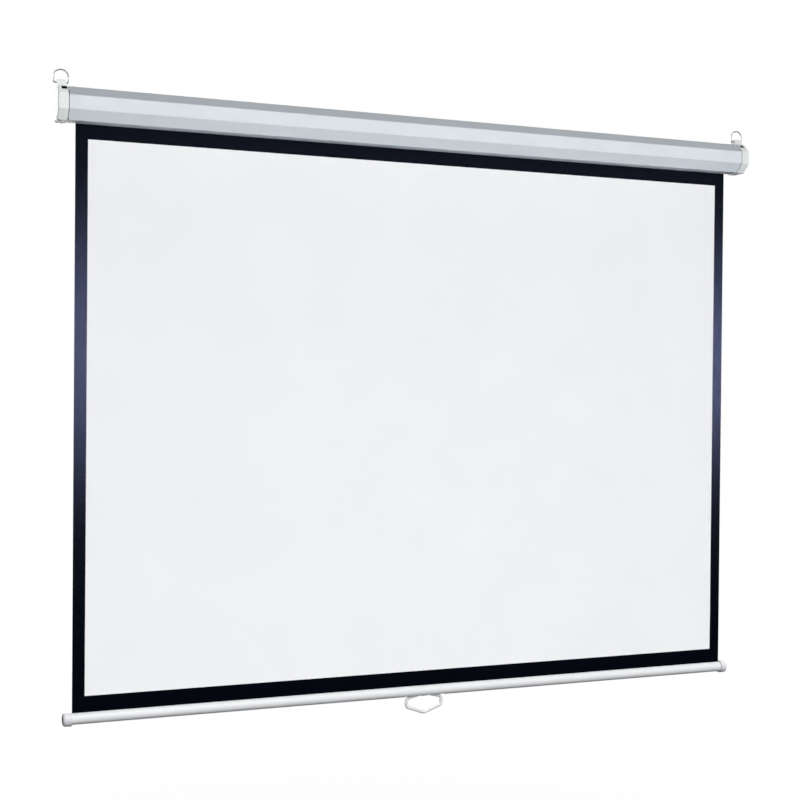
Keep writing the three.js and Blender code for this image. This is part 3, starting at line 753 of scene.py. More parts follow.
def screen_cloth(sheet):
    """Matt white coated cloth, with printed black borders in place, and a black back."""
    finish = Finish("screen_cloth", Specular_IOR_Level=0.02)
    place = finish.place()
    x, _, z = finish.split(place)
    facing = finish.split(finish.add("ShaderNodeTexCoord").outputs["Normal"])[Y]
    edge = 0.15 * MM
    blur = 2 * edge
    half = (SHEET_HIGH.x - SHEET_LOW.x) / 2 - sheet.side
    low = BAR_HIGH.z + sheet.bottom
    high = CASE_LOW.z - sheet.top
    centre = (SHEET_LOW.x + SHEET_HIGH.x) / 2
    offset = finish.size(finish.reckon("SUBTRACT", x, centre))
    front = finish.ramp(facing, -0.5, 0.5, 1, 0)
    white = finish.product(
        finish.within(offset, half - edge, blur),
        finish.past(z, low - edge, blur),
        finish.within(z, high - edge, blur),
        front,
    )
    fibre = finish.noise(place, scale=1400, detail=3)
    clouds = finish.noise(place, scale=5)
    pale = finish.mottle(clouds, darker(sheet.white, 0.985), darker(sheet.white, 1.005))
    ink = finish.blend(fibre, darker(sheet.black, 0.7), darker(sheet.black, 1.3))
    dark = finish.blend(front, lining(finish, fibre, sheet), ink)
    shade = finish.blend(white, dark, pale)
    relief = finish.bump(weave(finish, x, z, 1800), distance=0.03 * MM, strength=0.5)
    relief = finish.bump(fibre, distance=0.02 * MM, strength=0.3, under=relief)
    rough_ink, rough_coating, rougher_back = 0.2, 0.9, 0.5
    rough = finish.ramp(white, 0, 1, rough_ink, rough_coating)
    rough = finish.reckon("ADD", rough, finish.ramp(front, 0, 1, rougher_back, 0))
    return finish.drive(Base_Color=shade, Roughness=rough, Normal=relief)


def roll_cloth(sheet, width, long):
    """The cloth's black back, as it lies on the roller."""
    finish = Finish("roll_cloth", Specular_IOR_Level=0.2)
    place = finish.place(stretch=(width, long, 1), source="UV")
    across, onward, _ = finish.split(place)
    fibre = finish.noise(place, scale=1200, detail=3)
    threads = weave(finish, across, onward, 1800)
    relief = finish.bump(threads, distance=0.05 * MM, strength=0.6)
    rough = finish.vary(fibre, 0.6, 0.8)
    shade = lining(finish, fibre, sheet)
    return finish.drive(Base_Color=shade, Roughness=rough, Normal=relief)


# ---------------------------------------------------------------- the case


def build_case(case):
    """The steel sheet rolled to eight sides, with the slot's lips turned in."""
    slot_front = SHEET_LOW.y - case.ahead
    slot_rear = SHEET_HIGH.y + case.behind
    sloping = 0.5

    def below(face):
        return face.normal.z < -sloping

    def at(edge, depth):
        return runs_along(edge) and near(middle(edge).y, depth)

    def fold(edge):
        return math.degrees(edge.calc_face_angle()) if len(edge.link_faces) == 2 else 0

    piece = add_box(CASE_PIECE, CASE_LOW, CASE_HIGH)
    edit(piece)
    choose(piece, "EDGE", runs_along)
    round_edges(case.chamfer)
    choose(piece, "FACE", is_end)
    bpy.ops.mesh.delete(type="ONLY_FACE")
    for depth in (slot_front, slot_rear):
        choose(piece, "FACE", lambda face: below(face) and face.normal.y > -sloping)
        cut_along(depth)
    choose(
        piece,
        "FACE",
        lambda face: below(face) and slot_front < face.calc_center_median().y < slot_rear,
    )
    bpy.ops.mesh.delete(type="FACE")
    choose(
        piece,
        "EDGE",
        lambda edge: (at(edge, slot_front) or at(edge, slot_rear)) and middle(edge).z < 0,
    )
    bpy.ops.mesh.extrude_edges_move(TRANSFORM_OT_translate={"value": (0, 0, case.lip)})
    choose(piece, "EDGE", lambda edge: runs_along(edge) and 0 < fold(edge) < 50)
    round_edges(tangent(case.bend, 45), steps=8)
    choose(
        piece,
        "EDGE",
        lambda edge: at(edge, slot_front)
        and fold(edge)
        and middle(edge).z < CASE_LOW.z + case.hem,
    )
    round_edges(tangent(case.hem, 90), steps=6)
    choose(piece, "EDGE", lambda edge: at(edge, slot_rear) and fold(edge) > 100)
    round_edges(tangent(case.hem, 135), steps=8)
    leave_edit()
    apply(piece, "SOLIDIFY", thickness=case.steel, offset=-1, use_even_offset=True)
    for node in SCREWS:
        low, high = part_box(node)
        seat = (low + high) / 2
        out = Vector((0, 1, math.copysign(1, seat.z))).normalized() * OVERRUN
        combine(piece, add_round("screw_hole", case.hole, seat - out, seat + out, 32))
    ease(piece, case.edge, above=60)
    smooth(piece, 30)
    hand_over(piece, "case", powder_coat(case.colour), "case_shell")


def section_legs(proud, case):
    """The legs of the cap's section at its front and rear corners."""
    reach = CASE_HIGH.z - CASE_LOW.y / 2 - case.chamfer + proud * math.sqrt(2)
    top = CASE_HIGH.z + proud
    half = -CASE_LOW.y / 2
    return top + half + proud - reach, top + half - reach


def draw_in(low, high, now, then):
    """Draws the selected end face from one inset of the cap's section to another."""
    extrude()
    deep, tall = high[Y] - low[Y], high[Z] - low[Z]
    bpy.ops.transform.resize(
        value=(1, (deep - 2 * then) / (deep - 2 * now), (tall - 2 * then) / (tall - 2 * now)),
        center_override=(Vector(low) + Vector(high)) / 2,
    )


def cap_body(cap, case):
    """The hollow outer body of the right cap, with its spigot."""
    outer = CAP_HIGH.x
    inner = outer - cap.reach
    low = (inner + cap.reveal, CASE_LOW.y - cap.proud, CASE_LOW.z - cap.proud)
    high = (outer, CASE_HIGH.y, CASE_HIGH.z + cap.proud)
    body = add_box("cap_body", low, high)
    front_leg, rear_leg = section_legs(cap.proud, case)
    edit(body)
    choose(body, "EDGE", lambda edge: runs_along(edge) and middle(edge).y < CASE_LOW.y / 2)
    round_edges(front_leg)
    choose(body, "EDGE", lambda edge: runs_along(edge) and near(middle(edge).y, 0))
    round_edges(rear_leg)
    choose(body, "EDGE", runs_along)
    round_edges(tangent(cap.corner, 45), steps=4)
    choose(body, "EDGE", lies_at(X, outer))
    round_edges(cap.edge, steps=8)
    choose(body, "FACE", lambda face: face.normal.x < -FACING)
    fit = cap.proud + cap.play
    floor = cap.proud + cap.groove
    neck = floor + cap.collar
    step = cap.reveal + cap.collar
    bpy.ops.mesh.inset(thickness=fit, use_even_offset=True)
    draw_in(low, high, fit, floor)
    extrude(x=-step)
    draw_in(low, high, floor, fit)
    extrude(x=step - cap.reveal - cap.spigot)
    draw_in(low, high, fit, neck)
    extrude(x=cap.spigot + cap.wall)
    draw_in(low, high, neck, cap.wall)
    extrude(x=cap.reach - 2 * cap.wall)
    leave_edit()
    return body


def cap_ear(cap, ring):
    """The ear: wide foot, round tip, and the ring's hole."""
    outer = CAP_HIGH.x - cap.ear_back
    inner = outer - cap.ear_width
    ring_low, ring_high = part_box("right_hang_ring")
    y = (ring_low.y + ring_high.y) / 2
    tip_z = CAP_HIGH.z - cap.ear_tip
    foot_z = CASE_HIGH.z - cap.wall
    axis = ring_low.z + ring.wire / 2
    ear = add_round("cap_ear", cap.ear_tip, (inner, y, tip_z), (outer, y, tip_z))
    foot = add_box(
        "ear_foot",
        (inner, y - cap.ear_foot / 2, foot_z),
        (outer, y + cap.ear_foot / 2, foot_z + 0.1 * MM),
    )
    focus(ear)
    foot.select_set(True)
    bpy.ops.object.join()
    edit(ear)
    choose_all()
    bpy.ops.mesh.convex_hull()
    choose_all()
    bpy.ops.mesh.dissolve_limited(angle_limit=math.radians(1))
    leave_edit()
    ends = (inner - OVERRUN, y, axis), (outer + OVERRUN, y, axis)
    combine(ear, add_round("ring_hole", cap.ring_hole, *ends, sides=32))
    ease(ear, cap.ear_edge, steps=3)
    return ear


def pocket_place(cap, case):
    """The pocket's middle along the case, the chamfer's top edge, and how far below it lies."""
    top_y = CASE_LOW.y - cap.proud + section_legs(cap.proud, case)[0]
    top_z = CASE_HIGH.z + cap.proud
    down = (cap.pocket_height / 2 + cap.pocket_down) / math.sqrt(2)
    centre = CAP_HIGH.x - cap.reach + cap.pocket_in + cap.pocket_width / 2
    return centre, top_y, top_z, down


def cap_pocket(cap, case):
    """The cutter for the pocket in the upper front chamfer."""
    centre, top_y, top_z, down = pocket_place(cap, case)
    half_x, half_y = cap.pocket_width / 2, cap.pocket_height / 2
    clear = 4 * MM
    tool = add_box("pocket", (-half_x, -half_y, -cap.pocket_depth), (half_x, half_y, clear))
    edit(tool)
    choose(tool, "EDGE", stands_up)
    round_edges(cap.pocket_corner, steps=4)
    leave_edit()
    tool.rotation_euler = (math.radians(45), 0, 0)
    tool.location = (centre, top_y - down, top_z - down)
    focus(tool)
    return settle("pocket")


def slot_notch(cap, case):
    """The cutter that gives the slot's lips room in the spigot."""
    inner = CAP_HIGH.x - cap.reach
    front = SHEET_LOW.y - case.ahead - cap.notch
    rear = SHEET_HIGH.y + case.behind + cap.notch
    clear, shy, below = 4 * MM, 0.1 * MM, -40 * MM
    return add_box(
        "slot_notch",
        (inner - cap.spigot - clear, front, below),
        (inner - shy, rear, -cap.notch_top),
    )


def build_caps(cap, case, ring):
    """Both end caps, from one body and its mirror image."""
    end = CAP_HIGH.x
    inner = end - cap.reach
    y = (ROLLER_LOW.y + ROLLER_HIGH.y) / 2
    boss_root, socket_mouth = 1.5 * MM, 15 * MM
    body = cap_body(cap, case)
    combine(body, cap_pocket(cap, case))
    combine(body, cap_ear(cap, ring), "UNION")
    combine(body, slot_notch(cap, case))
    boss = add_round("boss", cap.boss, (end - cap.boss_reach, y, 0), (end - boss_root, y, 0))
    combine(body, boss, "UNION")
    body.name = body.data.name = RIGHT_CAP
    twin = mirrored(body, LEFT_CAP)
    edit(twin)
    choose(twin, "VERT", lambda corner: near(corner.co.x, -inner - cap.reveal))
    bpy.ops.transform.translate(value=(-cap.left_reveal, 0, 0))
    leave_edit()
    idler_socket = add_round(
        "idler_socket", cap.socket, (end - socket_mouth, y, 0), (end - cap.socket_floor, y, 0)
    )
    combine(body, idler_socket)
    tongue_socket = add_box(
        "tongue_socket",
        (cap.socket_floor - end, y - cap.socket, -cap.socket_half),
        (socket_mouth - end, y + cap.socket, cap.socket_half),
    )
    combine(twin, tongue_socket)
    plastic = moulded_plastic(
        "cap_plastic",
        cap.colour,
        rough=0.42,
        # The dark mask paints shade into the pockets and the cap's inside behind them
        dark=lambda finish, place: painted_pocket_shade(finish, place, cap, case),
    )
    for piece, side in ((body, "right"), (twin, "left")):
        smooth(piece, 32)
        hand_over(piece, "case", plastic, f"{side}_end_cap")


def add_outline(name, corners, closed):
    """A wire outline through corners, made from a ring of points moved into place."""
    clear_selection()
    bpy.ops.mesh.primitive_circle_add(vertices=len(corners), fill_type="NOTHING")
    piece = settle(name)
    edit(piece)
    for index, target in enumerate(corners):
        choose(piece, "VERT", lambda corner, index=index: corner.index == index)
        place = bmesh.from_edit_mesh(piece.data).verts[:][index].co.copy()
        bpy.ops.transform.translate(value=Vector(target) - place)
    if not closed:
        ends = {0, len(corners) - 1}
        choose(piece, "EDGE", lambda edge: {v.index for v in edge.verts} == ends)
        bpy.ops.mesh.delete(type="EDGE")
    return piece


def round_corner(piece, place, reach, steps):
    """Rounds the outline's corner at a place; reach is how far the bend goes back."""
    choose(piece, "VERT", lambda corner: (corner.co - Vector(place)).length < 0.2 * MM)
    round_edges(reach, steps, affect="VERTICES")


def fill_wire(piece, radius):
    """Gives the outline a round section."""
    leave_edit()
    focus(piece)
    bpy.ops.object.convert(target="CURVE")
    curve = bpy.context.active_object
    curve.data.bevel_depth = radius
    curve.data.bevel_resolution = 6
    curve.data.use_fill_caps = True
    bpy.ops.object.convert(target="MESH")
    return settle(piece.name)


def build_rings(ring):
    """Both hanging rings, bent from wire."""
    metal = plated_wire("bright_plating", ring.colour)
    half = ring.wire / 2
    for side, name in (("left", LEFT_RING), ("right", RIGHT_RING)):
        low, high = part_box(f"{side}_hang_ring")
        y = (low.y + high.y) / 2
        left, right = low.x + half, high.x - half
        bottom, top = low.z + half, high.z - half
        places = [(right, y, bottom), (right, y, top), (left, y, top), (left, y, bottom)]
        piece = add_outline(name, places, closed=True)
        for place in places:
            if place[Z] == bottom:
                round_corner(piece, place, ring.foot, steps=8)
            else:
                round_corner(piece, place, ring.arch, steps=18)
        piece = fill_wire(piece, half)
        smooth(piece, 50, flat_faces=False)
        hand_over(piece, f"ring_{side}", metal, f"{side}_hang_ring")


def build_screws(screw, case, works):
    """Four pan-head screws with cross recesses, one modelled and three copied."""
    model = add_round("cap_screw", screw.head, (0, 0, screw.seat), (0, 0, screw.top), 40)
    edit(model)
    choose(model, "EDGE", lies_at(Z, screw.top))
    round_edges(screw.dome, steps=5)
    choose(model, "FACE", lambda face: face.normal.z < -FACING)
    bpy.ops.mesh.inset(thickness=screw.shoulder)
    extrude(z=-screw.shank)
    extrude(z=-screw.point)
    tip = (0, 0, screw.seat - screw.shank - screw.point)
    bpy.ops.transform.resize(value=(0.2, 0.2, 1), center_override=tip)
    leave_edit()
    clear = 2.5 * MM
    for x, y in ((screw.cross, screw.cross_half), (screw.cross_half, screw.cross)):
        combine(model, add_box("cross", (-x, -y, screw.cross_floor), (x, y, clear)))
    smooth(model, 35)
    metal = oiled_steel("screw_steel", works)
    seat_y = (SHEET_HIGH.y + case.behind) / 2
    seat_z = CASE_HIGH.z - case.chamfer - seat_y
    for node in SCREWS:
        low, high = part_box(node)
        upper = low.z > 0
        twin = copy_of(model, f"{node}_cross_head")
        twin.rotation_euler = (math.radians(-45 if upper else -135), 0, 0)
        twin.location = ((low.x + high.x) / 2, seat_y, seat_z if upper else -seat_z)
        settle(twin.name)
        hand_over(twin, "case", metal, node)
    bpy.data.objects.remove(model)


# ---------------------------------------------------------------- cloth

# Long shallow waves: share of the height, turns across and down, and start
WAVES = ((0.5, 9, 4, 0), (0.3, 21, -7, 1), (0.2, 3, 14, 2))
CALM_BELOW, CALM_ABOVE = 9, 7  # how fast the waves die out at the bar and at the case


def add_cloth(name, columns, rows):
    """Starts a cloth from a grid one metre wide and long, with its own UV map."""
    clear_selection()
    bpy.ops.mesh.primitive_grid_add(
        x_subdivisions=columns, y_subdivisions=rows, size=1, location=(0, 0, 0)
    )
    return settle(name)


def build_sheet(sheet):
    """The hanging cloth, with long shallow waves that die out at the case and the bar."""
    piece = add_cloth(CLOTH_PIECE, columns=140, rows=110)
    wide = SHEET_HIGH.x - SHEET_LOW.x
    tall = SHEET_HIGH.z - SHEET_LOW.z
    middle_x = (SHEET_LOW.x + SHEET_HIGH.x) / 2
    for corner in piece.data.vertices:
        x, s = corner.co.x, corner.co.y + 0.5
        free = min(1, s * CALM_BELOW, (1 - s) * CALM_ABOVE)
        free = free * free * (3 - 2 * free)
        wave = sum(
            share * math.sin(across * x + down * s + start)
            for share, across, down, start in WAVES
        )
        corner.co = (
            middle_x + x * wide,
            SHEET_LOW.y + sheet.ripple * wave * free,
            SHEET_LOW.z + s * tall,
        )
    apply(piece, "SOLIDIFY", thickness=SHEET_HIGH.y - SHEET_LOW.y, offset=-1)
    smooth(piece, 30, flat_faces=False)
    hand_over(piece, "bar", screen_cloth(sheet), "screen_sheet")
    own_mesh(piece)


def build_roll(sheet):
    """The last turns of cloth, which stay on the roller and end where the sheet leaves it."""
    piece = add_cloth("rolled_cloth", columns=24, rows=160)
    wide = SHEET_HIGH.x - SHEET_LOW.x
    thick = SHEET_HIGH.y - SHEET_LOW.y
    middle_x = (SHEET_LOW.x + SHEET_HIGH.x) / 2
    middle_y = (ROLLER_LOW.y + ROLLER_HIGH.y) / 2
    outermost = SHEET_LOW.y - middle_y - thick / 2 - sheet.gap
    turns = sheet.turns
    long = 2 * math.pi * turns * (outermost - sheet.pitch * turns / 2)
    for corner in piece.data.vertices:
        x, s = corner.co.x, corner.co.y + 0.5
        angle = 2 * math.pi * turns * s
        radius = outermost - sheet.pitch * turns * s
        corner.co = (
            middle_x + x * wide,
            middle_y + radius * math.cos(angle),
            radius * math.sin(angle),
        )
    apply(piece, "SOLIDIFY", thickness=thick, offset=0)
    smooth(piece, 40, flat_faces=False)
    hand_over(piece, "roller", roll_cloth(sheet, wide, long), "sheet_wraps")


# ---------------------------------------------------------------- the bar and its handle


def build_bar(bar):
    """The drawn tube, with a slot on top and a window underneath."""
    middle_y, middle_z = (BAR_LOW.y + BAR_HIGH.y) / 2, (BAR_LOW.z + BAR_HIGH.z) / 2
    radius = (BAR_HIGH.z - BAR_LOW.z) / 2
    ends = (BAR_LOW.x, middle_y, middle_z), (BAR_HIGH.x, middle_y, middle_z)
    piece = add_round(BAR_PIECE, radius, *ends, sides=96)

    def on_top(face):
        return face.normal.z > FACING

    edit(piece)
    choose(piece, "FACE", is_end)
    bpy.ops.mesh.delete(type="ONLY_FACE")
    for half_slot in (-bar.slot / 2, bar.slot / 2):
        choose(piece, "FACE", on_top)
        cut_along(middle_y + half_slot)
    choose(
        piece,
        "FACE",
        lambda face: on_top(face)
        and abs(face.calc_center_median().y - middle_y) < bar.slot / 2,
    )
    bpy.ops.mesh.delete(type="FACE")
    leave_edit()
    apply(piece, "SOLIDIFY", thickness=bar.wall, offset=-1, use_even_offset=True)
    handle_low, handle_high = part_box("pull_handle")
    handle_x = (handle_low.x + handle_high.x) / 2
    half_x, half_y = bar.window / 2, bar.window_width / 2
    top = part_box("handle_strap")[0].z + bar.window_top
    window = add_box(
        "window",
        (handle_x - half_x, middle_y - half_y, BAR_LOW.z - OVERRUN),
        (handle_x + half_x, middle_y + half_y, top),
    )
    edit(window)
    choose(window, "EDGE", stands_up)
    round_edges(bar.window_corner, steps=6)
    leave_edit()
    combine(piece, window)
    ease(piece, bar.edge, above=60)
    smooth(piece, 30)
    hand_over(piece, "bar", bar_paint(bar.colour), "bar_tube")


def build_bar_caps(bar):
    """Both sleeve caps of the bar, one modelled and one mirrored."""
    low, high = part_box("bar_cap_right")
    middle_y, middle_z = (low.y + high.y) / 2, (low.z + high.z) / 2
    radius = (high.z - low.z) / 2
    bore = (BAR_HIGH.z - BAR_LOW.z) / 2 + bar.cap_play
    ends = (low.x, middle_y, middle_z), (high.x, middle_y, middle_z)
    piece = add_round(RIGHT_SLEEVE, radius, *ends, sides=80)
    edit(piece)
    choose(piece, "EDGE", lies_at(X, high.x))
    round_edges(bar.cap_edge, steps=8)
    choose(piece, "FACE", lambda face: face.normal.x < -FACING)
    bpy.ops.mesh.inset(thickness=radius - bore)
    extrude(x=high.x - low.x - bar.cap_wall)
    leave_edit()
    ease(piece, bar.cap_rim, above=60)
    smooth(piece, 32)
    plastic = moulded_plastic("bar_cap_plastic", bar.cap_colour, rough=0.36)
    twin = mirrored(piece, LEFT_SLEEVE)
    twin.location.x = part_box("bar_cap_left")[0].x + high.x
    focus(twin)
    twin = settle(twin.name)
    smooth(twin, 32)
    hand_over(piece, "bar", plastic, "bar_cap_right")
    hand_over(twin, "bar", plastic, "bar_cap_left")


def build_handle(handle):
    """The six-sided loop, with the thin barrel it turns on."""
    low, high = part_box("pull_handle")
    x, y, axis_z = joint("handle_swing")["pos_m"]
    half = (high.x - low.x) / 2 - handle.thick / 2
    loop = (
        (handle.barrel_half, 0),
        (half, handle.shoulder),
        (half, handle.side),
        (0, handle.tip),
        (-half, handle.side),
        (-half, handle.shoulder),
        (-handle.barrel_half, 0),
    )
    places = [Vector((x + across, y, axis_z - down)) for across, down in loop]
    piece = add_outline(HANDLE_PIECE, places, closed=False)
    for before, place, after in zip(places, places[1:], places[2:]):
        turn = math.degrees((place - before).angle(after - place))
        round_corner(piece, place, tangent(handle.corner, turn), steps=10)
    piece = fill_wire(piece, handle.thick / 2)
    focus(piece)
    bpy.ops.transform.resize(
        value=(1, handle.deep / handle.thick, 1), center_override=(x, y, axis_z)
    )
    piece = settle(piece.name)
    ends = (x - handle.barrel_half, y, axis_z), (x + handle.barrel_half, y, axis_z)
    combine(piece, add_round("barrel", handle.barrel, *ends, sides=32), "UNION")
    smooth(piece, 45, flat_faces=False)
    plastic = moulded_plastic("handle_plastic", handle.colour, rough=0.38)
    hand_over(piece, "handle", plastic, "pull_handle")


# ---------------------------------------------------------------- roller, spring and lock


def natural_plastic(name, colour, rough, grain=1100, cloud=0.93):
    """Unpainted plastic, coarser and cloudier than the white."""
    return moulded_plastic(name, colour, rough, grain, cloud)


def build_roller(works):
    """The roller tube, its plugs, the idler and the hem rod."""
    metal = plated_wire("roller_plating", works.tube)
    plain = natural_plastic("natural_plastic", works.plugs, rough=0.48)
    steel = oiled_steel("idler_steel", works)
    finished_copy("roller_tube", 0.15 * MM, metal)
    for node in ("roller_plug_left", "roller_plug_right", "idler_bush", "hem_rod"):
        finished_copy(node, 0.3 * MM, plain)
    finished_copy("idler_pin", 0.1 * MM, steel)


def build_spring(works):
    """The arbor, the collar and the wound spring."""
    metal = oiled_steel("spring_wire", works)
    plain = natural_plastic("collar_plastic", works.collar, rough=0.5)
    finished_copy("spring_arbor", 0.25 * MM, metal)
    finished_copy("torsion_spring", 0, metal, angle=80)
    finished_copy("spring_collar", 0.4 * MM, plain)


def build_lock(works):
    """The hub, the pawls and their pins."""
    metal = oiled_steel("lock_steel", works)
    plain = natural_plastic("pawl_plastic", works.pawls, rough=0.45, grain=1300, cloud=0.94)
    finished_copy("lock_hub", 0.15 * MM, metal)
    for side in ("upper", "lower"):
        finished_copy(f"{side}_pawl_pin", 0.1 * MM, metal)
        finished_copy(f"{side}_pawl", 0.25 * MM, plain)


def build_strap(works):
    """The strap that carries the handle."""
    metal = plated_wire("strap_plating", works.strap)
    finished_copy("handle_strap", 0.2 * MM, metal)


# ---------------------------------------------------------------- stage


def add_lamp(name, place, target, size, power, colour=(1, 1, 1)):
    """A soft lamp of a width and height in metres, which faces a target."""
    clear_selection()
    place, target = Vector(place), Vector(target)
    turn = (place - target).to_track_quat("Z", "Y").to_euler()
    bpy.ops.object.light_add(type="AREA", location=place, rotation=turn)
    lamp = bpy.context.active_object
    lamp.name = lamp.data.name = name
    lamp.data.shape = "RECTANGLE"
    lamp.data.size, lamp.data.size_y = size
    lamp.data.energy = power
    lamp.data.color = colour
    return lamp


def add_sun(name, height, softness, power):
    """Even light from the front, from a height in degrees over the horizon."""
    clear_selection()
    turn = (math.radians(90 - height), 0, 0)
    bpy.ops.object.light_add(type="SUN", rotation=turn)
    lamp = bpy.context.active_object
    lamp.name = lamp.data.name = name
    lamp.data.angle = math.radians(softness)
    lamp.data.energy = power
    return lamp


def light_only(lamp, *pieces, state="INCLUDE"):
    """Lets the lamp light only the named pieces, or all but them."""
    group = bpy.data.collections.new(f"{lamp.name}_pieces")
    for name in pieces:
        group.objects.link(bpy.data.objects[name])
    for member in group.collection_objects:
        member.light_linking.link_state = state
    lamp.light_linking.receiver_collection = group


def add_gloss_lamp(piece, **lamp):
    """A lamp that shows only as a gleam on one piece."""
    panel = add_lamp(**lamp)
    panel.visible_diffuse = False
    light_only(panel, piece)


def add_camera(stage):
    """The camera at the photograph's viewing angle."""
    level = math.cos(CAMERA_PITCH)
    ahead = Vector(
        (
            math.sin(CAMERA_YAW) * level,
            math.cos(CAMERA_YAW) * level,
            math.sin(CAMERA_PITCH),
        )
    )
    right = Vector((math.cos(CAMERA_YAW), -math.sin(CAMERA_YAW), 0))
    up = right.cross(ahead)
    lean, upright = math.sin(CAMERA_ROLL), math.cos(CAMERA_ROLL)
    right, up = right * upright + up * lean, up * upright - right * lean
    turn = Matrix((right, up, -ahead)).transposed().to_euler()
    clear_selection()
    bpy.ops.object.camera_add(location=CAMERA_PLACE, rotation=turn)
    camera = bpy.context.active_object
    camera.name = camera.data.name = "photo_camera"
    camera.data.sensor_width = 36
    camera.data.lens = stage.lens
    camera.data.clip_end = 60
    bpy.context.scene.camera = camera


def add_floor(stage):
    """A pale floor that keeps the object's soft shadow and is white to the eye."""
    clear_selection()
    bpy.ops.mesh.primitive_plane_add(size=24, location=(0, 4, stage.floor))
    floor = settle(FLOOR)
    finish = Finish("pale_floor", Roughness=0.9, Specular_IOR_Level=0.0)
    place = finish.place()
    speckle = finish.noise(place, scale=60)
    shade = finish.blend(speckle, darker(stage.floor_colour, 0.98), tuple(stage.floor_colour))
    finish.drive(Base_Color=shade)
    spread = finish.add("ShaderNodeVectorMath", {0: place}, operation="LENGTH").outputs
    seen = finish.add("ShaderNodeLightPath").outputs["Is Camera Ray"]
    near_edge, far_edge, near_white = 3.2, 5.5, 0.93
    far = finish.ramp(spread["Value"], near_edge, far_edge, near_white, 1)
    glow = finish.add("ShaderNodeEmission", {"Strength": finish.product(seen, far)})
    both = finish.add(
        "ShaderNodeAddShader", {0: finish.shader.outputs["BSDF"], 1: glow.outputs["Emission"]}
    )
    output = finish.tree.nodes["Material Output"]
    finish.feed(output.inputs["Surface"], both.outputs["Shader"])
    floor.data.materials.append(finish.material)


def add_world():
    """A dim even sky for the light, white to the eye and in reflections."""
    world = bpy.data.worlds.new("studio_air")
    world.use_nodes = True
    bpy.context.scene.world = world
    air = Nodes(world.node_tree)
    dim = air.tree.nodes["Background"]
    air.feed(dim.inputs["Color"], (0.86, 0.93, 1.0))
    air.feed(dim.inputs["Strength"], 0.03)
    white = air.add("ShaderNodeBackground", {"Color": (1, 1, 1), "Strength": 1.0})
    rays = air.add("ShaderNodeLightPath").outputs
    seen = air.reckon("ADD", rays["Is Camera Ray"], rays["Is Glossy Ray"], clamp=True)
    seen = air.reckon("ADD", seen, rays["Is Transmission Ray"], clamp=True)
    mix = air.add("ShaderNodeMixShader", {0: seen, 1: dim.outputs[0], 2: white.outputs[0]})
    air.feed(air.tree.nodes["World Output"].inputs["Surface"], mix.outputs[0])


def build_stage(stage):
    """Camera, floor, even sky and soft lamps."""
    bpy.context.scene.view_settings.view_transform = "Standard"
    add_camera(stage)
    add_floor(stage)
    add_world()
    front = add_lamp(
        "front_lamp",
        place=(-0.1, -5, -0.85),
        target=(-0.1, 0, -0.85),
        size=(7, 1.2),
        power=305,
    )
    front.visible_glossy = False
    light_only(front, *LOW_PIECES, FLOOR, state="EXCLUDE")
    # The bar and its handle have even light, so that they look the same at every height
    light_only(add_sun("bar_lamp", height=43, softness=25, power=2.4), *LOW_PIECES)
    light_only(add_sun("bar_fill_lamp", height=5, softness=25, power=0.7), *LOW_PIECES)
    add_gloss_lamp(
        CASE_PIECE,
        name="case_gloss_lamp",
        place=(0.8, -3.2, 0.62),
        target=(0.8, 0, 0.3),
        size=(5.5, 0.6),
        power=240,
    )
    add_gloss_lamp(
        CLOTH_PIECE,
        name="cloth_gloss_lamp",
        place=(1.3, -3, -0.456),
        target=(1.3, 0, -0.456),
        size=(3.8, 0.4),
        power=1320,
        colour=(0.46, 0.52, 1),
    )
    above = add_lamp(
        "cap_lamp", place=(0, -0.6, 2.6), target=(0, -0.04, 0), size=(2, 0.6), power=25
    )
    light_only(above, LEFT_CAP, RIGHT_CAP)
    left = add_lamp(
        "end_lamp",
        place=(-3.8, -0.9, 1.0),
        target=(-0.86, -0.04, 0),
        size=(0.8, 0.8),
        power=30,
    )
    light_only(left, LEFT_CAP, LEFT_RING)
    right = add_lamp(
        "right_lamp",
        place=(3.6, 0.35, 0.1),
        target=(0.87, -0.02, -0.5),
        size=(1.2, 2),
        power=44,
    )
    light_only(right, RIGHT_CAP, RIGHT_RING, RIGHT_SLEEVE)
    rear = add_lamp(
        "back_lamp", place=(0, 4.5, 0.4), target=(0, 0, -0.6), size=(3.4, 2), power=270
    )
    light_only(rear, FLOOR, state="EXCLUDE")
    under = add_lamp(
        "floor_lamp", place=(0, 0, 3), target=(0, 0, -2.25), size=(4, 3), power=15
    )
    light_only(under, FLOOR)


# ---------------------------------------------------------------- operators


class PULLSCREEN_OT_case(bpy.types.Operator):
    """Builds the rolled steel case"""

    bl_idname = "pull_screen.case"
    bl_label = "Case"

    def execute(self, context):
        build_case(context.scene.screen_case)
        return {"FINISHED"}


class PULLSCREEN_OT_caps(bpy.types.Operator):
    """Builds both end caps"""

    bl_idname = "pull_screen.caps"
    bl_label = "End Caps"

    def execute(self, context):
        scene = context.scene
        build_caps(scene.screen_cap, scene.screen_case, scene.screen_ring)
        return {"FINISHED"}


class PULLSCREEN_OT_rings(bpy.types.Operator):
    """Builds both hanging rings"""

    bl_idname = "pull_screen.rings"
    bl_label = "Hanging Rings"

    def execute(self, context):
        build_rings(context.scene.screen_ring)
        return {"FINISHED"}


class PULLSCREEN_OT_screws(bpy.types.Operator):
    """Builds the four cap screws"""

    bl_idname = "pull_screen.screws"
    bl_label = "Cap Screws"

    def execute(self, context):
        scene = context.scene
        build_screws(scene.screen_screw, scene.screen_case, scene.screen_works)
        return {"FINISHED"}


class PULLSCREEN_OT_sheet(bpy.types.Operator):
    """Builds the hanging cloth"""

    bl_idname = "pull_screen.sheet"
    bl_label = "Sheet"

    def execute(self, context):
        build_sheet(context.scene.screen_sheet)
        return {"FINISHED"}


class PULLSCREEN_OT_roll(bpy.types.Operator):
    """Builds the cloth on the roller"""

    bl_idname = "pull_screen.roll"
    bl_label = "Roll"

    def execute(self, context):
        build_roll(context.scene.screen_sheet)
        return {"FINISHED"}


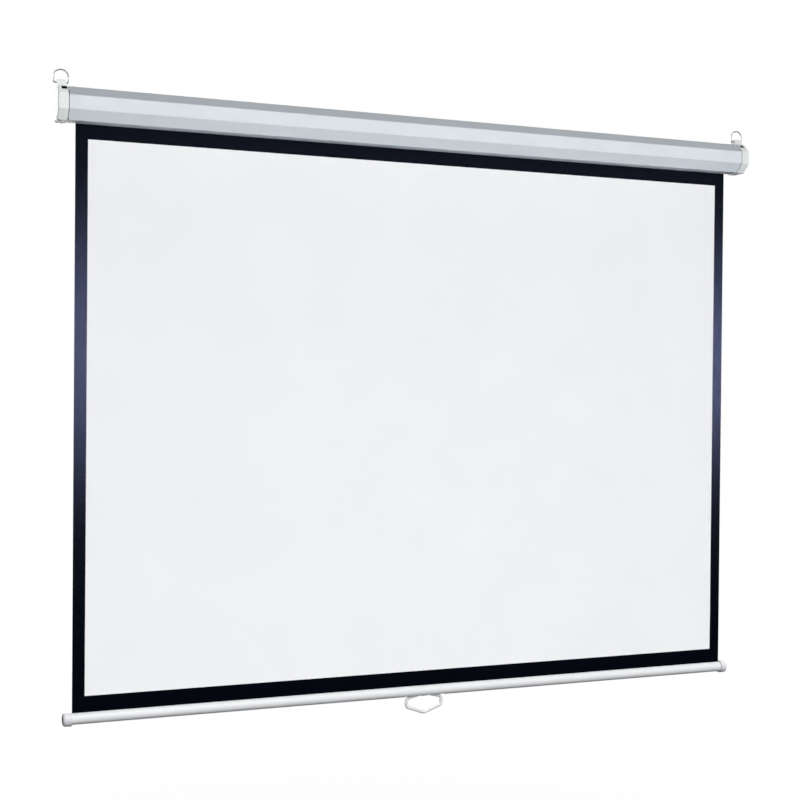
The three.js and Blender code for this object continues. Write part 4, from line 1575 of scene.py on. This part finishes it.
class PULLSCREEN_OT_bar(bpy.types.Operator):
    """Builds the bottom tube"""

    bl_idname = "pull_screen.bar"
    bl_label = "Bar"

    def execute(self, context):
        build_bar(context.scene.screen_bar)
        return {"FINISHED"}


class PULLSCREEN_OT_bar_caps(bpy.types.Operator):
    """Builds the bar's sleeve caps"""

    bl_idname = "pull_screen.bar_caps"
    bl_label = "Bar Caps"

    def execute(self, context):
        build_bar_caps(context.scene.screen_bar)
        return {"FINISHED"}


class PULLSCREEN_OT_handle(bpy.types.Operator):
    """Builds the pull handle"""

    bl_idname = "pull_screen.handle"
    bl_label = "Handle"

    def execute(self, context):
        build_handle(context.scene.screen_handle)
        return {"FINISHED"}


class PULLSCREEN_OT_strap(bpy.types.Operator):
    """Finishes the handle's strap"""

    bl_idname = "pull_screen.strap"
    bl_label = "Strap"

    def execute(self, context):
        build_strap(context.scene.screen_works)
        return {"FINISHED"}


class PULLSCREEN_OT_roller(bpy.types.Operator):
    """Finishes the roller and its plugs"""

    bl_idname = "pull_screen.roller"
    bl_label = "Roller"

    def execute(self, context):
        build_roller(context.scene.screen_works)
        return {"FINISHED"}


class PULLSCREEN_OT_spring(bpy.types.Operator):
    """Finishes the spring works"""

    bl_idname = "pull_screen.spring"
    bl_label = "Spring"

    def execute(self, context):
        build_spring(context.scene.screen_works)
        return {"FINISHED"}


class PULLSCREEN_OT_lock(bpy.types.Operator):
    """Finishes the lock"""

    bl_idname = "pull_screen.lock"
    bl_label = "Lock"

    def execute(self, context):
        build_lock(context.scene.screen_works)
        return {"FINISHED"}


class PULLSCREEN_OT_stage(bpy.types.Operator):
    """Builds floor, lamps and camera"""

    bl_idname = "pull_screen.stage"
    bl_label = "Stage"

    def execute(self, context):
        build_stage(context.scene.screen_stage)
        return {"FINISHED"}


OPERATORS = (
    PULLSCREEN_OT_case,
    PULLSCREEN_OT_caps,
    PULLSCREEN_OT_rings,
    PULLSCREEN_OT_screws,
    PULLSCREEN_OT_sheet,
    PULLSCREEN_OT_roll,
    PULLSCREEN_OT_bar,
    PULLSCREEN_OT_bar_caps,
    PULLSCREEN_OT_handle,
    PULLSCREEN_OT_strap,
    PULLSCREEN_OT_roller,
    PULLSCREEN_OT_spring,
    PULLSCREEN_OT_lock,
    PULLSCREEN_OT_stage,
)


class PULLSCREEN_PT_panel(bpy.types.Panel):
    """Lists the pieces of the screen"""

    bl_label = "Projection Screen"
    bl_space_type = "VIEW_3D"
    bl_region_type = "UI"
    bl_category = "Screen"

    def draw(self, context):
        for made in OPERATORS:
            self.layout.operator(made.bl_idname)


SETTINGS = {
    "screen_case": CaseSettings,
    "screen_cap": CapSettings,
    "screen_screw": ScrewSettings,
    "screen_ring": RingSettings,
    "screen_sheet": SheetSettings,
    "screen_bar": BarSettings,
    "screen_handle": HandleSettings,
    "screen_works": WorksSettings,
    "screen_stage": StageSettings,
}


def register():
    """Registers the settings, the operators and the panel."""
    for name, group in SETTINGS.items():
        bpy.utils.register_class(group)
        setattr(bpy.types.Scene, name, PointerProperty(type=group))
    for made in (*OPERATORS, PULLSCREEN_PT_panel):
        bpy.utils.register_class(made)


def unregister():
    """Takes them out again."""
    for made in reversed((*OPERATORS, PULLSCREEN_PT_panel)):
        bpy.utils.unregister_class(made)
    for name, group in SETTINGS.items():
        delattr(bpy.types.Scene, name)
        bpy.utils.unregister_class(group)


def main():
    """Builds every piece in order."""
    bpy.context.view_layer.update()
    register()
    for made in OPERATORS:
        group = made.bl_idname.split(".")[1]
        getattr(bpy.ops.pull_screen, group)()


if __name__ == "__main__":
    main()
